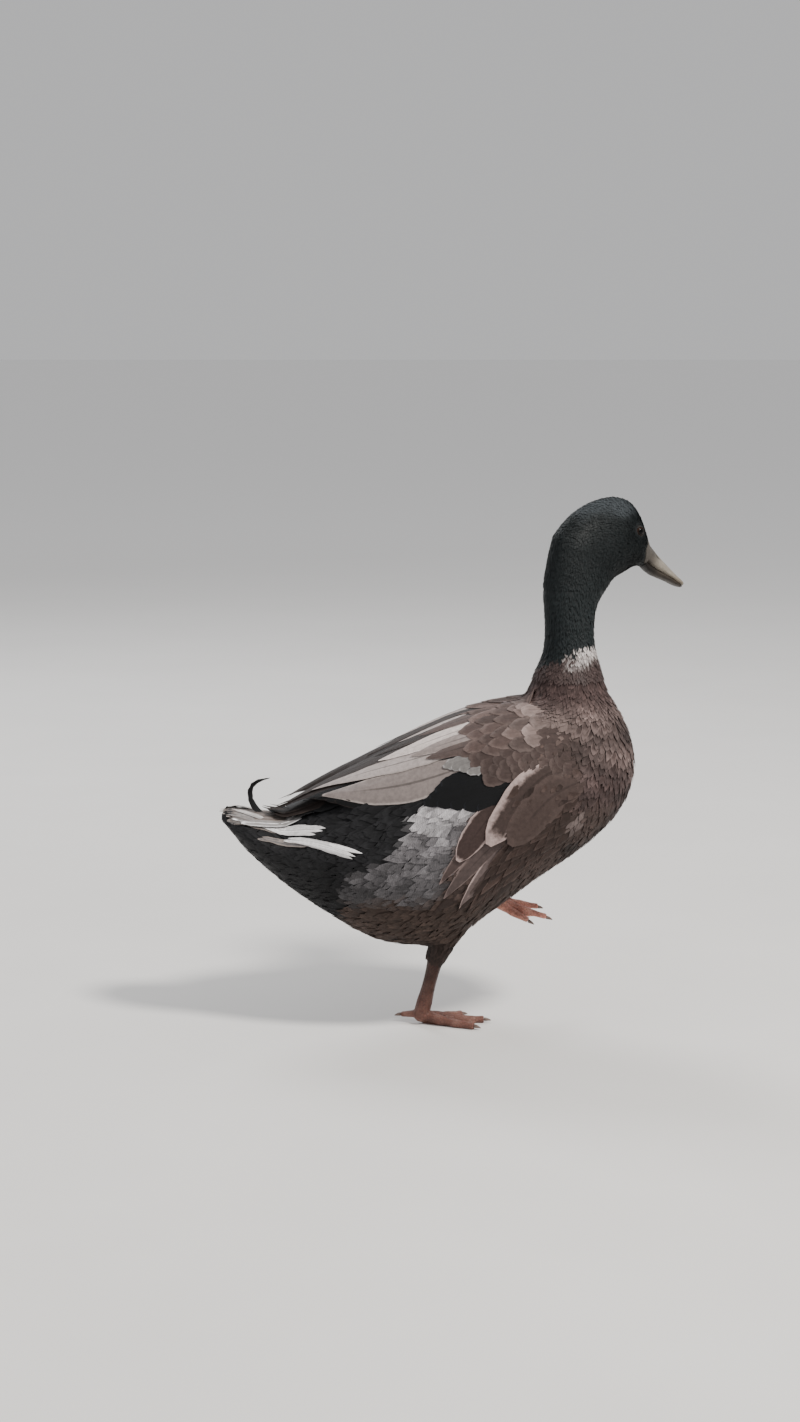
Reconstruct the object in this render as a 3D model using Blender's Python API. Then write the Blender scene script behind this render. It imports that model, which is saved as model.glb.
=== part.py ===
"""A mallard drake in mid stride: the right foot planted, the left foot lifted and swung forward, the
neck upright and the head turned a little to the bird's left.

Metres, +Z up. The bill points along +X and the bird's left side lies towards +Y. The finished bird
stands with the bottom centre of its bounding box at the origin. The solids follow the plumage's outer
surface, and are parted where a person would name the parts.
"""

import math

import bmesh
import bpy
import numpy as np
from mathutils import Matrix, Vector
from mathutils.bvhtree import BVHTree

CM = 0.01
GAP = 0.0003  # clearance between pieces that meet
HEAD_TURN = math.radians(22)  # the head looks this far to the bird's left
NECK_AXIS_X = 0.10  # the upright line that the neck turns about

TRUNK_SIDES, NECK_SIDES, LIMB_SIDES = 28, 24, 8
TRUNK_RINGS, TAIL_RINGS, NECK_RINGS, HEAD_RINGS, BILL_RINGS = 22, 8, 9, 14, 8

# A rib is one cross-section of the bird: back x, back z, belly x, belly z, half width, in centimetres,
# then how far down from the back it is fullest, from 0 to 1.
TAIL_ROOT = (-15.6, 19.2, -14.7, 12.6, 4.4, 0.45)
NECK_BASE = (7.15, 32.9, 13.75, 30.6, 3.05, 0.52)
NAPE = (8.55, 44.9, 14.4, 41.0, 2.3, 0.52)
BILL_BASE = (17.9, 44.05, 17.35, 41.85, 1.1, 0.52)
TAIL_RIBS = [
    (-21.55, 19.85, -21.5, 19.5, 0.6, 0.5),
    (-20.7, 19.95, -20.5, 18.25, 2.2, 0.4),
    (-19.2, 19.75, -18.9, 16.3, 3.6, 0.38),
    (-17.4, 19.35, -16.9, 14.45, 4.25, 0.4),
    TAIL_ROOT,
]
TRUNK_RIBS = [
    TAIL_ROOT,
    (-12.7, 20.9, -11.3, 10.35, 5.7, 0.47),
    (-9.5, 23.2, -7.9, 8.35, 6.8, 0.5),
    (-6.1, 25.3, -4.2, 7.5, 7.5, 0.5),
    (-2.7, 27.1, -0.5, 8.0, 7.9, 0.5),
    (0.5, 28.5, 3.5, 10.85, 8.0, 0.5),
    (3.3, 29.3, 7.75, 14.05, 7.8, 0.5),
    (5.1, 29.9, 11.7, 16.8, 7.2, 0.52),
    (6.0, 30.4, 14.85, 20.0, 6.3, 0.54),
    (6.45, 31.0, 16.15, 23.4, 5.2, 0.56),
    (6.7, 31.7, 15.85, 26.6, 4.15, 0.57),
    (6.95, 32.4, 14.65, 29.2, 3.4, 0.54),
    NECK_BASE,
]
NECK_RIBS = [
    NECK_BASE,
    (7.75, 34.2, 13.0, 33.0, 2.5, 0.52),
    (7.98, 36.2, 12.4, 35.3, 2.2, 0.5),
    (7.85, 38.6, 12.5, 38.2, 2.15, 0.5),
    (7.75, 41.0, 13.3, 39.7, 2.2, 0.5),
    NAPE,
]
HEAD_RIBS = [
    NAPE,
    (10.2, 46.75, 15.3, 41.4, 2.33, 0.54),
    (12.2, 47.85, 15.9, 41.75, 2.35, 0.55),
    (14.2, 48.28, 16.4, 41.98, 2.22, 0.56),
    (15.75, 47.98, 16.8, 42.0, 1.95, 0.57),
    (16.72, 46.95, 17.05, 41.95, 1.65, 0.57),
    (17.35, 45.4, 17.22, 41.9, 1.36, 0.55),
    BILL_BASE,
]
BILL_UPPER_RIBS = [
    (17.95, 44.0, 17.5, 42.28, 1.05, 0.66),
    (18.72, 43.05, 18.2, 41.78, 0.95, 0.7),
    (19.55, 42.2, 19.1, 41.28, 0.96, 0.72),
    (20.35, 41.42, 19.98, 40.8, 1.05, 0.72),
    (21.05, 40.75, 20.8, 40.3, 1.0, 0.7),
    (21.5, 40.3, 21.38, 40.03, 0.45, 0.6),
]
BILL_LOWER_RIBS = [
    (17.47, 42.18, 17.37, 41.78, 0.9, 0.3),
    (18.16, 41.68, 18.1, 41.15, 0.82, 0.3),
    (19.06, 41.18, 18.95, 40.78, 0.84, 0.3),
    (19.94, 40.7, 19.85, 40.42, 0.92, 0.3),
    (20.74, 40.22, 20.68, 40.02, 0.85, 0.35),
    (21.2, 39.98, 21.17, 39.86, 0.4, 0.45),
]
EYE = (16.19, 45.19)  # x before the head turns, and z, in centimetres
EYE_OUT, EYE_RADIUS = 1.56, 0.48

# The folded wing, front to back: x, the angles from straight up of its upper and lower edges, how far
# its face stands off the body, and its thickness, in centimetres and degrees.
WING_STATIONS = [
    (9.8, 34, 43, 0.4, 0.45),
    (8.4, 21, 60, 0.6, 0.9),
    (6.0, 8, 68, 0.75, 1.2),
    (3.0, 2.4, 69, 0.85, 1.4),
    (-1.0, 2, 66, 0.9, 1.4),
    (-5.0, 2, 60, 0.9, 1.3),
    (-9.0, 2.4, 52, 1.2, 1.1),
    (-12.0, 4, 42, 1.7, 1.3),
    (-14.5, 7, 31, 1.75, 1.2),
    (-16.0, 10, 23, 1.5, 0.9),
    (-17.3, 14, 19, 0.9, 0.15),
]
WING_RINGS, WING_ACROSS = 20, 8
WING_EDGE = 0.07 * CM  # thickness along the edges
BODY_AXIS_Z, BODY_AXIS_RISE = 0.185, 0.2  # the line inside the body that the wing is wrapped round

# The curled feather over the tail, side view x and z, in centimetres.
CURL_PATH = [(-17.55, 19.47), (-18.4, 20.3), (-18.75, 21.6), (-18.2, 22.5), (-16.9, 22.85)]
CURL_HALF_WIDTH, CURL_HALF_DEPTH = 0.33 * CM, 0.055 * CM

# Legs: hip end of the feathered thigh, where its feathers end, hock and ankle, in centimetres.
RIGHT_LEG = ((-0.5, -2.5, 10.0), (-1.5, -1.3, 7.25), (-1.72, -1.1, 6.6), (-3.1, -0.5, 0.95))
LEFT_LEG = ((0.9, 4.6, 13.2), (-0.4, 6.05, 10.35), (-1.3, 6.55, 8.5), (3.1, 5.0, 10.4))
THIGH_RADIUS, HOCK_RADIUS, SHANK_RADIUS, ANKLE_RADIUS = 1.75 * CM, 0.95 * CM, 0.65 * CM, 0.78 * CM
SHANK_END = 0.22  # the shank ends this share of its length above the ankle

# Toes, from the inner to the outer: heading and length of each, in degrees and centimetres.
TOES = {"inner": (27, 4.3), "middle": (0, 5.75), "outer": (-25, 5.15)}
TOE_RADIUS, CLAW_LENGTH, CLAW_RADIUS, CLAW_HOOK = 0.47 * CM, 0.65 * CM, 0.2 * CM, 0.12 * CM
HIND_TOE_LENGTH = 1.75 * CM
# Where each hind toe starts in its foot's own frame, in centimetres, and where it points.
RIGHT_HIND_TOE = ((-0.2, 0, 0.95), (-0.9, 0.35, -0.12))
LEFT_HIND_TOE = ((0.25, -0.2, 0.1), (-0.42, -0.4, -0.8))
PLANTED_TURN = math.radians(3)  # the planted foot points this far inwards
LIFTED_DROOP, LIFTED_ROLL = math.radians(13), math.radians(15)  # its tips and its inner side hang lower
LIFTED_SPREAD, LIFTED_CURL, LIFTED_SOLE_DROP = 0.75, 0.25 * CM, 0.55 * CM
WEB_THICKNESS, WEB_REACH, WEB_SCALLOP = 0.17 * CM, 0.93, 0.84
SOLE_SINK = 0.05 * CM  # cut away below the sole, so that the foot stands flat

COLOURS = {
    "dark_green": ((0.008, 0.016, 0.013), 0.42),
    "brown_grey": ((0.15, 0.105, 0.09), 0.75),
    "wing_grey": ((0.23, 0.2, 0.19), 0.7),
    "black": ((0.012, 0.012, 0.013), 0.6),
    "olive_bill": ((0.26, 0.23, 0.16), 0.45),
    "eye_brown": ((0.012, 0.007, 0.004), 0.1),
    "leg_pink": ((0.38, 0.17, 0.12), 0.55),
    "claw_grey": ((0.09, 0.07, 0.06), 0.4),
}


def through(knots, place):
    """The point at place, 0 to 1, on a smooth curve through the knots."""
    span = place * (len(knots) - 1)
    i = min(int(span), len(knots) - 2)
    f = span - i
    a, b, c, d = (np.array(knots[min(max(i + k, 0), len(knots) - 1)]) for k in (-1, 0, 1, 2))
    return 0.5 * (2 * b + (c - a) * f + (2 * a - 5 * b + 4 * c - d) * f**2 + (3 * b - a - 3 * c + d) * f**3)


def material(colour):
    """One Principled material for each colour of the bird."""
    found = bpy.data.materials.get(colour)
    if found:
        return found
    rgb, roughness = COLOURS[colour]
    made = bpy.data.materials.new(colour)
    made.use_nodes = True
    shader = made.node_tree.nodes["Principled BSDF"]
    shader.inputs["Base Color"].default_value = (*rgb, 1)
    shader.inputs["Roughness"].default_value = roughness
    shader.inputs["Metallic"].default_value = 0
    return made


def add(name, mesh, colour, home):
    """An object from a bmesh, with its normals outwards, in the given collection."""
    bmesh.ops.recalc_face_normals(mesh, faces=mesh.faces)
    data = bpy.data.meshes.new(name)
    mesh.to_mesh(data)
    mesh.free()
    data.materials.append(material(colour))
    data.shade_smooth()
    data.set_sharp_from_angle(angle=math.radians(40))
    made = bpy.data.objects.new(name, data)
    home.objects.link(made)
    return made


def cut_or_join(target, other, operation):
    """Cuts the other object out of the target, or joins it on."""
    step = target.modifiers.new(f"{operation.lower()}_{other.name}", "BOOLEAN")
    step.operation = operation
    step.solver = "EXACT"
    step.object = other


def loft(rings):
    """A closed bmesh over a row of rings with the same number of points."""
    mesh = bmesh.new()
    rows = [[mesh.verts.new(point) for point in ring] for ring in rings]
    for near, far in zip(rows, rows[1:]):
        for i in range(len(near)):
            mesh.faces.new((near[i], near[i - 1], far[i - 1], far[i]))
    mesh.faces.new(rows[0])
    mesh.faces.new(reversed(rows[-1]))
    return mesh


def rib_ring(rib, sides, turn=0.0, puff=0.0):
    """A rib's outline, grown by puff and turned with the neck about its axis."""
    back_x, back_z, belly_x, belly_z, half_width, fullest = rib
    back, belly = Vector((back_x, 0, back_z)) * CM, Vector((belly_x, 0, belly_z)) * CM
    skew = math.log(fullest) / math.log(0.5)
    middle = back.lerp(belly, 0.5)
    ring = []
    for i in range(sides):
        angle = 2 * math.pi * i / sides
        point = back.lerp(belly, ((1 - math.cos(angle)) / 2) ** skew)
        point.y = half_width * CM * math.sin(angle)
        point += (point - middle).normalized() * puff
        ring.append(turned(point, turn))
    return ring


def turned(point, turn):
    """The point turned about the neck's upright axis."""
    axis = Vector((NECK_AXIS_X, 0, 0))
    return Matrix.Rotation(turn, 3, "Z") @ (point - axis) + axis


def rib_body(ribs, rings, sides, turns=(0.0, 0.0), gap_at_start=False, puff=0.0):
    """The rings of a body through its ribs; a start that meets another piece stands GAP off it."""
    made = []
    for i in range(rings + 1):
        place = i / rings
        turn = turns[0] + (turns[1] - turns[0]) * place
        made.append(rib_ring(through(ribs, place), sides, turn, puff))
    if gap_at_start:
        across = (made[0][0] - made[0][sides // 2]).normalized()
        sideways = (made[0][sides // 4] - made[0][3 * sides // 4]).normalized()
        away = across.cross(sideways)
        ahead = sum(made[1], Vector()) / sides - sum(made[0], Vector()) / sides
        away *= math.copysign(GAP, away.dot(ahead))
        made[0] = [point + away for point in made[0]]
    return made


def tube_rings(path, radii, sides, flatten=1.0):
    """Rings round a path of points, each square to it, with its own radius."""
    rings = []
    for i, point in enumerate(path):
        ahead = (path[min(i + 1, len(path) - 1)] - path[max(i - 1, 0)]).normalized()
        sideways = ahead.cross(Vector((0, 0, 1)) if abs(ahead.z) < 0.9 else Vector((1, 0, 0))).normalized()
        upwards = sideways.cross(ahead)
        ring = []
        for k in range(sides):
            angle = 2 * math.pi * k / sides
            reach = sideways * math.cos(angle) * flatten + upwards * math.sin(angle)
            ring.append(point + reach * radii[i])
        rings.append(ring)
    return rings


def body_form():
    """The whole body without its wings, for the wings to be wrapped on."""
    rings = rib_body(TAIL_RIBS, TAIL_RINGS, TRUNK_SIDES)[:-1]
    mesh = loft(rings + rib_body(TRUNK_RIBS, TRUNK_RINGS, TRUNK_SIDES))
    bmesh.ops.triangulate(mesh, faces=mesh.faces)
    tree = BVHTree.FromBMesh(mesh)
    mesh.free()
    return tree


def wing_rings(form, side, spare):
    """Rings of a folded wing on the body; spare grows them into the cutter of its pocket."""
    rings = []
    for i in range(WING_RINGS + 1):
        x, upper, lower, stand_off, thickness = through(WING_STATIONS, i / WING_RINGS)
        x += spare / CM * (1 - 2 * i / WING_RINGS)
        centre = Vector((x * CM, 0, BODY_AXIS_Z + BODY_AXIS_RISE * x * CM))
        outer, inner = [], []
        for k in range(WING_ACROSS + 1):
            across = k / WING_ACROSS
            reach = spare / (8 * CM) * (2 * across - 1)
            angle = math.radians(upper + (lower - upper) * across) + reach
            away = Vector((0, side * math.sin(angle), math.cos(angle)))
            skin = form.ray_cast(centre, away)[0]
            full = 1 - abs(2 * across - 1) ** 5
            face = skin + away * (stand_off * CM * (0.35 + 0.65 * full))
            depth = WING_EDGE + (thickness * CM - WING_EDGE) * full
            outer.append(face + away * (20 * spare))
            inner.append(face - away * (depth + spare))
        rings.append(outer + inner[::-1])
    return rings


def trunk(parts, cutters, form):
    """The trunk, from the tail's root to the foot of the neck, with a shallow pocket for each wing."""
    made = add("trunk", loft(rib_body(TRUNK_RIBS, TRUNK_RINGS, TRUNK_SIDES)), "brown_grey", parts)
    for side, name in ((1, "left"), (-1, "right")):
        cutter = add(f"wing_pocket_{name}", loft(wing_rings(form, side, 1.5 * GAP)), "brown_grey", cutters)
        cut_or_join(made, cutter, "DIFFERENCE")


def wings(parts, form):
    """The folded wings, each from the shoulder to the crossed tips over the rump."""
    for side, name in ((1, "left"), (-1, "right")):
        add(f"wing_{name}", loft(wing_rings(form, side, 0.0)), "wing_grey", parts)


def tail(parts):
    """The tail with its coverts, and the one curled feather that stands over it."""
    ribs = TAIL_RIBS[::-1]
    add("tail", loft(rib_body(ribs, TAIL_RINGS, TRUNK_SIDES, gap_at_start=True)), "black", parts)
    path = [Vector((x, 0, z)) * CM for x, z in (through(CURL_PATH, i / 12) for i in range(13))]
    rings = []
    for i, ring in enumerate(tube_rings(path, [CURL_HALF_DEPTH] * 13, 8)):
        taper = math.sin(math.pi * (0.12 + 0.8 * i / 12)) ** 0.6
        stretch = Matrix.Diagonal((1, CURL_HALF_WIDTH / CURL_HALF_DEPTH * taper, 1))
        rings.append([path[i] + stretch @ (point - path[i]) for point in ring])
    add("tail_curl", loft(rings), "black", parts)


def neck_and_head(parts, cutters):
    """The upright neck, the head on it, the eyes in their sockets and the two halves of the bill."""
    neck = rib_body(NECK_RIBS, NECK_RINGS, NECK_SIDES, (0, HEAD_TURN), gap_at_start=True)
    add("neck", loft(neck), "dark_green", parts)
    head = rib_body(HEAD_RIBS, HEAD_RINGS, NECK_SIDES, (HEAD_TURN, HEAD_TURN), gap_at_start=True)
    skull = add("head", loft(head), "dark_green", parts)
    for side, name in ((1, "left"), (-1, "right")):
        centre = turned(Vector((EYE[0], side * EYE_OUT, EYE[1])) * CM, HEAD_TURN)
        for label, home, room in (("eye", parts, 0), ("socket", cutters, GAP)):
            ball = bmesh.new()
            bmesh.ops.create_uvsphere(ball, u_segments=14, v_segments=9, radius=EYE_RADIUS * CM + room)
            bmesh.ops.translate(ball, verts=ball.verts, vec=centre)
            made = add(f"{label}_{name}", ball, "eye_brown", home)
            if label == "socket":
                cut_or_join(skull, made, "DIFFERENCE")
    for name, ribs in (("bill_upper", BILL_UPPER_RIBS), ("bill_lower", BILL_LOWER_RIBS)):
        rings = rib_body(ribs, BILL_RINGS, 16, (HEAD_TURN, HEAD_TURN), gap_at_start=True)
        add(name, loft(rings), "olive_bill", parts)


def toe_mesh(heading, length, curl):
    """A toe along the ground from the ankle, with its joints, in the foot's own frame."""
    ahead = Vector((math.cos(heading), math.sin(heading), 0))
    path, radii = [], []
    for i in range(9):
        share = i / 8
        rise = 0.55 * CM * (1 - share) ** 2 + 0.3 * CM - curl * share**2
        path.append(ahead * (0.15 * CM + (length - 0.15 * CM) * share) + Vector((0, 0, rise)))
        radii.append(TOE_RADIUS * (1 - 0.32 * share) * (1 + 0.1 * math.cos(2 * math.pi * share * 3)))
    return loft(tube_rings(path, radii, LIMB_SIDES)), path[-1], ahead


def web_mesh(spread, side):
    """The web between the three front toes, scalloped along its front edge."""
    tips = [(side * math.radians(turn) * spread, length * CM * WEB_REACH) for turn, length in TOES.values()]
    outline = [Vector((0, 0, 0))]
    for (turn, reach), (next_turn, next_reach) in zip(tips, tips[1:]):
        for i in range(4):
            share = i / 4
            bow = 1 - (1 - WEB_SCALLOP) * math.sin(math.pi * share)
            far = (reach + (next_reach - reach) * share) * bow
            turned_to = turn + (next_turn - turn) * share
            outline.append(Vector((math.cos(turned_to), math.sin(turned_to), 0)) * far)
    turn, reach = tips[-1]
    outline.append(Vector((math.cos(turn), math.sin(turn), 0)) * reach)
    mesh = bmesh.new()
    face = mesh.faces.new([mesh.verts.new(point - Vector((0, 0, 2 * SOLE_SINK))) for point in outline])
    lifted = bmesh.ops.extrude_face_region(mesh, geom=[face])["geom"]
    top = [v for v in lifted if isinstance(v, bmesh.types.BMVert)]
    bmesh.ops.translate(mesh, verts=top, vec=(0, 0, WEB_THICKNESS + 2 * SOLE_SINK))
    return mesh


def foot(parts, cutters, name, side, leg, place, spread, curl, hind_toe):
    """A webbed foot with its hind toe, placed by a matrix, and its four claws."""
    hock, ankle = (Vector(point) * CM for point in leg[2:])
    knob = bmesh.new()
    bmesh.ops.create_uvsphere(knob, u_segments=12, v_segments=8, radius=ANKLE_RADIUS)
    bmesh.ops.translate(knob, verts=knob.verts, vec=place.inverted() @ ankle)
    bmesh.ops.transform(knob, verts=knob.verts, matrix=place)
    made = add(f"foot_{name}", knob, "leg_pink", parts)
    path = [ankle.lerp(hock, SHANK_END * share) for share in (0, 0.5, 1)]
    stub = loft(tube_rings(path, [SHANK_RADIUS * 1.12] * 3, LIMB_SIDES))
    pieces = [("stub", stub, Matrix())]
    claws = []
    for toe, (turn, length) in TOES.items():
        mesh, tip, ahead = toe_mesh(side * math.radians(turn) * spread, length * CM, curl)
        pieces.append((toe, mesh, place))
        claws.append((toe, tip, ahead))
    pieces.append(("web", web_mesh(spread, side), place))
    for label, mesh, matrix in pieces:
        bmesh.ops.transform(mesh, verts=mesh.verts, matrix=matrix)
        cut_or_join(made, add(f"{label}_{name}", mesh, "leg_pink", cutters), "UNION")
    floor = bmesh.new()
    bmesh.ops.create_cube(floor, size=0.2)
    bmesh.ops.translate(floor, verts=floor.verts, vec=(0, 0, -0.1))
    bmesh.ops.transform(floor, verts=floor.verts, matrix=place)
    cut_or_join(made, add(f"sole_cut_{name}", floor, "leg_pink", cutters), "DIFFERENCE")
    start, back = Vector(hind_toe[0]) * CM, Vector(hind_toe[1]).normalized()
    path = [start + back * (HIND_TOE_LENGTH * i / 5) for i in range(6)]
    hind = loft(tube_rings(path, [TOE_RADIUS * (0.85 - 0.07 * i) for i in range(6)], LIMB_SIDES))
    bmesh.ops.transform(hind, verts=hind.verts, matrix=place)
    cut_or_join(made, add(f"hind_{name}", hind, "leg_pink", cutters), "UNION")
    claws.append(("hind", path[-1], back))
    for toe, tip, ahead in claws:
        path = []
        for share in (0, 0.35, 0.7, 1):
            hook = Vector((0, 0, 0.02 * CM - CLAW_HOOK * share**2))
            path.append(tip + ahead * (GAP + CLAW_LENGTH * share) + hook)
        claw = loft(tube_rings(path, [CLAW_RADIUS * share for share in (1, 0.85, 0.55, 0.18)], 8))
        bmesh.ops.transform(claw, verts=claw.verts, matrix=place)
        add(f"claw_{toe}_{name}", claw, "claw_grey", parts)


def leg(parts, cutters, name, points):
    """The feathered thigh, cut where it meets the belly, and the scaly shank below it."""
    hip, feather_end, hock, ankle = (Vector(point) * CM for point in points)
    path = [feather_end.lerp(hip, i / 5) for i in range(6)]
    radii = [HOCK_RADIUS + (THIGH_RADIUS - HOCK_RADIUS) * (i / 5) ** 0.8 for i in range(6)]
    thigh = add(f"thigh_{name}", loft(tube_rings(path, radii, 14)), "brown_grey", parts)
    cut_or_join(thigh, cutters.objects["belly_cut"], "DIFFERENCE")
    foot_end = ankle.lerp(hock, SHANK_END)
    start = foot_end + (hock - ankle).normalized() * GAP
    axis = (hip - feather_end).normalized()
    end = feather_end - axis * 2 * GAP
    path = [start.lerp(hock, share) for share in (0, 0.2, 0.4, 0.6, 0.8, 0.93)]
    path += [hock, end - axis * 0.1 * CM, end]
    radii = [SHANK_RADIUS * r for r in (1.1, 0.98, 0.94, 0.96, 1.06, 1.25, 1.35, 1.18, 1.15)]
    add(f"shank_{name}", loft(tube_rings(path, radii, LIMB_SIDES)), "leg_pink", parts)


def box_of(objects):
    """The lowest and highest corners of the evaluated objects."""
    depsgraph = bpy.context.evaluated_depsgraph_get()
    low, high = Vector((1e9,) * 3), Vector((-1e9,) * 3)
    for one in objects:
        done = one.evaluated_get(depsgraph)
        for vert in done.data.vertices:
            point = done.matrix_world @ vert.co
            low = Vector(map(min, low, point))
            high = Vector(map(max, high, point))
    return low, high


def build():
    for one in list(bpy.data.objects):
        bpy.data.objects.remove(one, do_unlink=True)
    parts = bpy.data.collections.new("mallard_duck")
    cutters = bpy.data.collections.new("cutters")
    bpy.context.scene.collection.children.link(parts)
    bpy.context.scene.collection.children.link(cutters)
    form = body_form()
    trunk(parts, cutters, form)
    wings(parts, form)
    tail(parts)
    neck_and_head(parts, cutters)
    belly = rib_body(TRUNK_RIBS, TRUNK_RINGS, TRUNK_SIDES, puff=1.5 * GAP)
    add("belly_cut", loft(belly), "brown_grey", cutters)
    leg(parts, cutters, "right", RIGHT_LEG)
    leg(parts, cutters, "left", LEFT_LEG)
    ankle = Vector(RIGHT_LEG[3]) * CM
    planted = Matrix.Translation((ankle.x, ankle.y, 0)) @ Matrix.Rotation(PLANTED_TURN, 4, "Z")
    foot(parts, cutters, "right", 1, RIGHT_LEG, planted, 1.0, 0.0, RIGHT_HIND_TOE)
    sole_drop = Matrix.Translation((0, 0, -LIFTED_SOLE_DROP))
    hang = Matrix.Rotation(LIFTED_DROOP, 4, "Y") @ Matrix.Rotation(LIFTED_ROLL, 4, "X")
    lifted = Matrix.Translation(Vector(LEFT_LEG[3]) * CM) @ hang @ sole_drop
    foot(parts, cutters, "left", -1, LEFT_LEG, lifted, LIFTED_SPREAD, LIFTED_CURL, LEFT_HIND_TOE)
    for one in cutters.objects:
        one.hide_render = True
        one.display_type = "WIRE"
    low, high = box_of(parts.objects)
    middle = bpy.data.objects.new("mallard", None)
    parts.objects.link(middle)
    for one in (*parts.objects, *cutters.objects):
        if one is not middle:
            one.parent = middle
    middle.location = (-(low.x + high.x) / 2, -(low.y + high.y) / 2, -low.z)


build()
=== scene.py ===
"""A mallard drake in mid stride, dressed in its plumage: one skin over the whole bird, a coat of solid
feathers laid over it tract by tract, the large feathers of wings, flanks and tail, then bill, eyes,
legs and claws. Metres, +Z up; the bill points along +X and the bird's left side lies towards +Y.
"""

import itertools
import math

import bmesh
import bpy
import numpy as np
from mathutils import Matrix, Vector
from mathutils.bvhtree import BVHTree


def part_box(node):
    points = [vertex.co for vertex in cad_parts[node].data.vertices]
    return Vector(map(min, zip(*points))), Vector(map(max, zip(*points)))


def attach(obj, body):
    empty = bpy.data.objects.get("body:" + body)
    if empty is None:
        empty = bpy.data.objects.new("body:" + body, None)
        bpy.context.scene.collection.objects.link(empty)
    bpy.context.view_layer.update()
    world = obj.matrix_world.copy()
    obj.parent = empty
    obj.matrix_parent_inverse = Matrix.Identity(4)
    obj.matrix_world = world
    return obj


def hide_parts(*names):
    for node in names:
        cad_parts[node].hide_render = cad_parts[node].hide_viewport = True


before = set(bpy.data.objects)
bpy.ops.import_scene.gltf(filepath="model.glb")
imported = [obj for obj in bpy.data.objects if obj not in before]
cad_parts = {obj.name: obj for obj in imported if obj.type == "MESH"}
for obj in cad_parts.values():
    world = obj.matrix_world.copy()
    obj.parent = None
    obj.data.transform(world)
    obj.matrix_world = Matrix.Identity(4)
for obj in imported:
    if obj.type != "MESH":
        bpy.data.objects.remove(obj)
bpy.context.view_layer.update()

# ------------------------------------------------------------------------------------------ measure
# Lengths on the bird are taken in centimetres: x from the upright line through the planted leg, so that
# the tail's tip lies at TAIL_TIP_X, y to the bird's left and z from the floor.
CM = 0.01
TAIL_TIP_X = -21.55
ORIGIN = Vector((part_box("tail")[0][0] - TAIL_TIP_X * CM, 0, 0))


def place(x, y, z):
    """A place on the bird, from centimetres."""
    return ORIGIN + Vector((x, y, z)) * CM


# ------------------------------------------------------------------------------------------ studio
# A plain pale floor that runs out of sight, soft lamps and a camera on a low stand, a little over two
# metres from the bird's right side.
FLOOR_HALF = 60.0


def mesh_of(shape, name, smooth=False):
    """The mesh of a finished shape, shaded smooth or flat."""
    for face in shape.faces:
        face.smooth = smooth
    data = bpy.data.meshes.new(name)
    shape.to_mesh(data)
    return data


def stood(name, data):
    """An object in the scene from a mesh, a lamp or a camera."""
    made = bpy.data.objects.new(name, data)
    bpy.context.collection.objects.link(made)
    return made


floor_shape = bmesh.new()
bmesh.ops.create_grid(floor_shape, x_segments=2, y_segments=2, size=FLOOR_HALF)
floor = stood("floor", mesh_of(floor_shape, "floor"))


class Wire:
    """One socket of a material's node tree, so that sums of sockets are written as plain expressions."""

    def __init__(self, tree, socket=None):
        self.tree, self.socket = tree, socket

    def node(self, kind, inputs=None, output=0, stops=None, **settings):
        """A new node of a kind, its settings made first, then its inputs; its output comes back."""
        made = self.tree.nodes.new("ShaderNode" + kind)
        for setting, value in settings.items():
            setattr(made, setting, value)
        if stops:
            ramp = made.color_ramp
            while len(ramp.elements) < len(stops):
                ramp.elements.new(0.5)
            for element, (at, colour) in zip(ramp.elements, stops):
                element.position, element.color = at, (*colour, 1)
        for name, value in (inputs or {}).items():
            if isinstance(value, Wire):
                self.tree.links.new(value.socket, made.inputs[name])
            else:
                colour = isinstance(value, tuple) and name in (6, 7)  # the two colours of a Mix node
                made.inputs[name].default_value = (*value, 1) if colour else value
        return Wire(self.tree, made.outputs[output])

    def maths(self, operation, *values):
        return self.node("Math", dict(enumerate(values)), operation=operation)

    def __add__(self, other):
        return self.maths("ADD", self, other)

    def __sub__(self, other):
        return self.maths("SUBTRACT", self, other)

    def __rsub__(self, other):
        return self.maths("SUBTRACT", other, self)

    def __mul__(self, other):
        return self.maths("MULTIPLY", self, other)

    __radd__, __rmul__ = __add__, __mul__

    def size(self):
        return self.maths("ABSOLUTE", self)

    def most(self, other):
        return self.maths("MAXIMUM", self, other)

    def between(self, low, high):
        """0 up to low, 1 from high on, soft between."""
        ranged = {"Value": self, "From Min": low, "From Max": high}
        return self.node("MapRange", ranged, interpolation_type="SMOOTHSTEP")

    def blend(self, other, share):
        """This colour where share is 0, the other where it is 1."""
        return self.node("Mix", {0: share, 6: self, 7: other}, output=2, data_type="RGBA")

    def darker(self, share):
        """This colour multiplied by a grey socket."""
        grey = self.node("CombineColor", {0: share, 1: share, 2: share})
        return self.node("Mix", {0: 1.0, 6: self, 7: grey}, output=2, data_type="RGBA", blend_type="MULTIPLY")

    def noise(self, where, scale, detail=3.0, rough=0.6):
        return self.node("TexNoise", {"Vector": where, "Scale": scale, "Detail": detail, "Roughness": rough})

    def where(self):
        """Places on the object."""
        return self.node("TexCoord", output="Object")

    def layer(self, name, output="Fac"):
        """What the mesh's own layer of this name says, as a number or, with output Color, as a colour."""
        return self.node("Attribute", output=output, attribute_name=name)

    def bump(self, height, strength, distance):
        return self.node("Bump", {"Height": height, "Strength": strength, "Distance": distance})


def material(name, **fixed):
    """A Principled material with its fixed sockets set, its shader, and a wire into its tree."""
    made = bpy.data.materials.new(name)
    made.use_nodes = True
    shader = made.node_tree.nodes["Principled BSDF"]
    for socket, value in fixed.items():
        shader.inputs[socket.replace("_", " ").title().replace("Ior", "IOR")].default_value = value
    return made, shader, Wire(made.node_tree)


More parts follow.
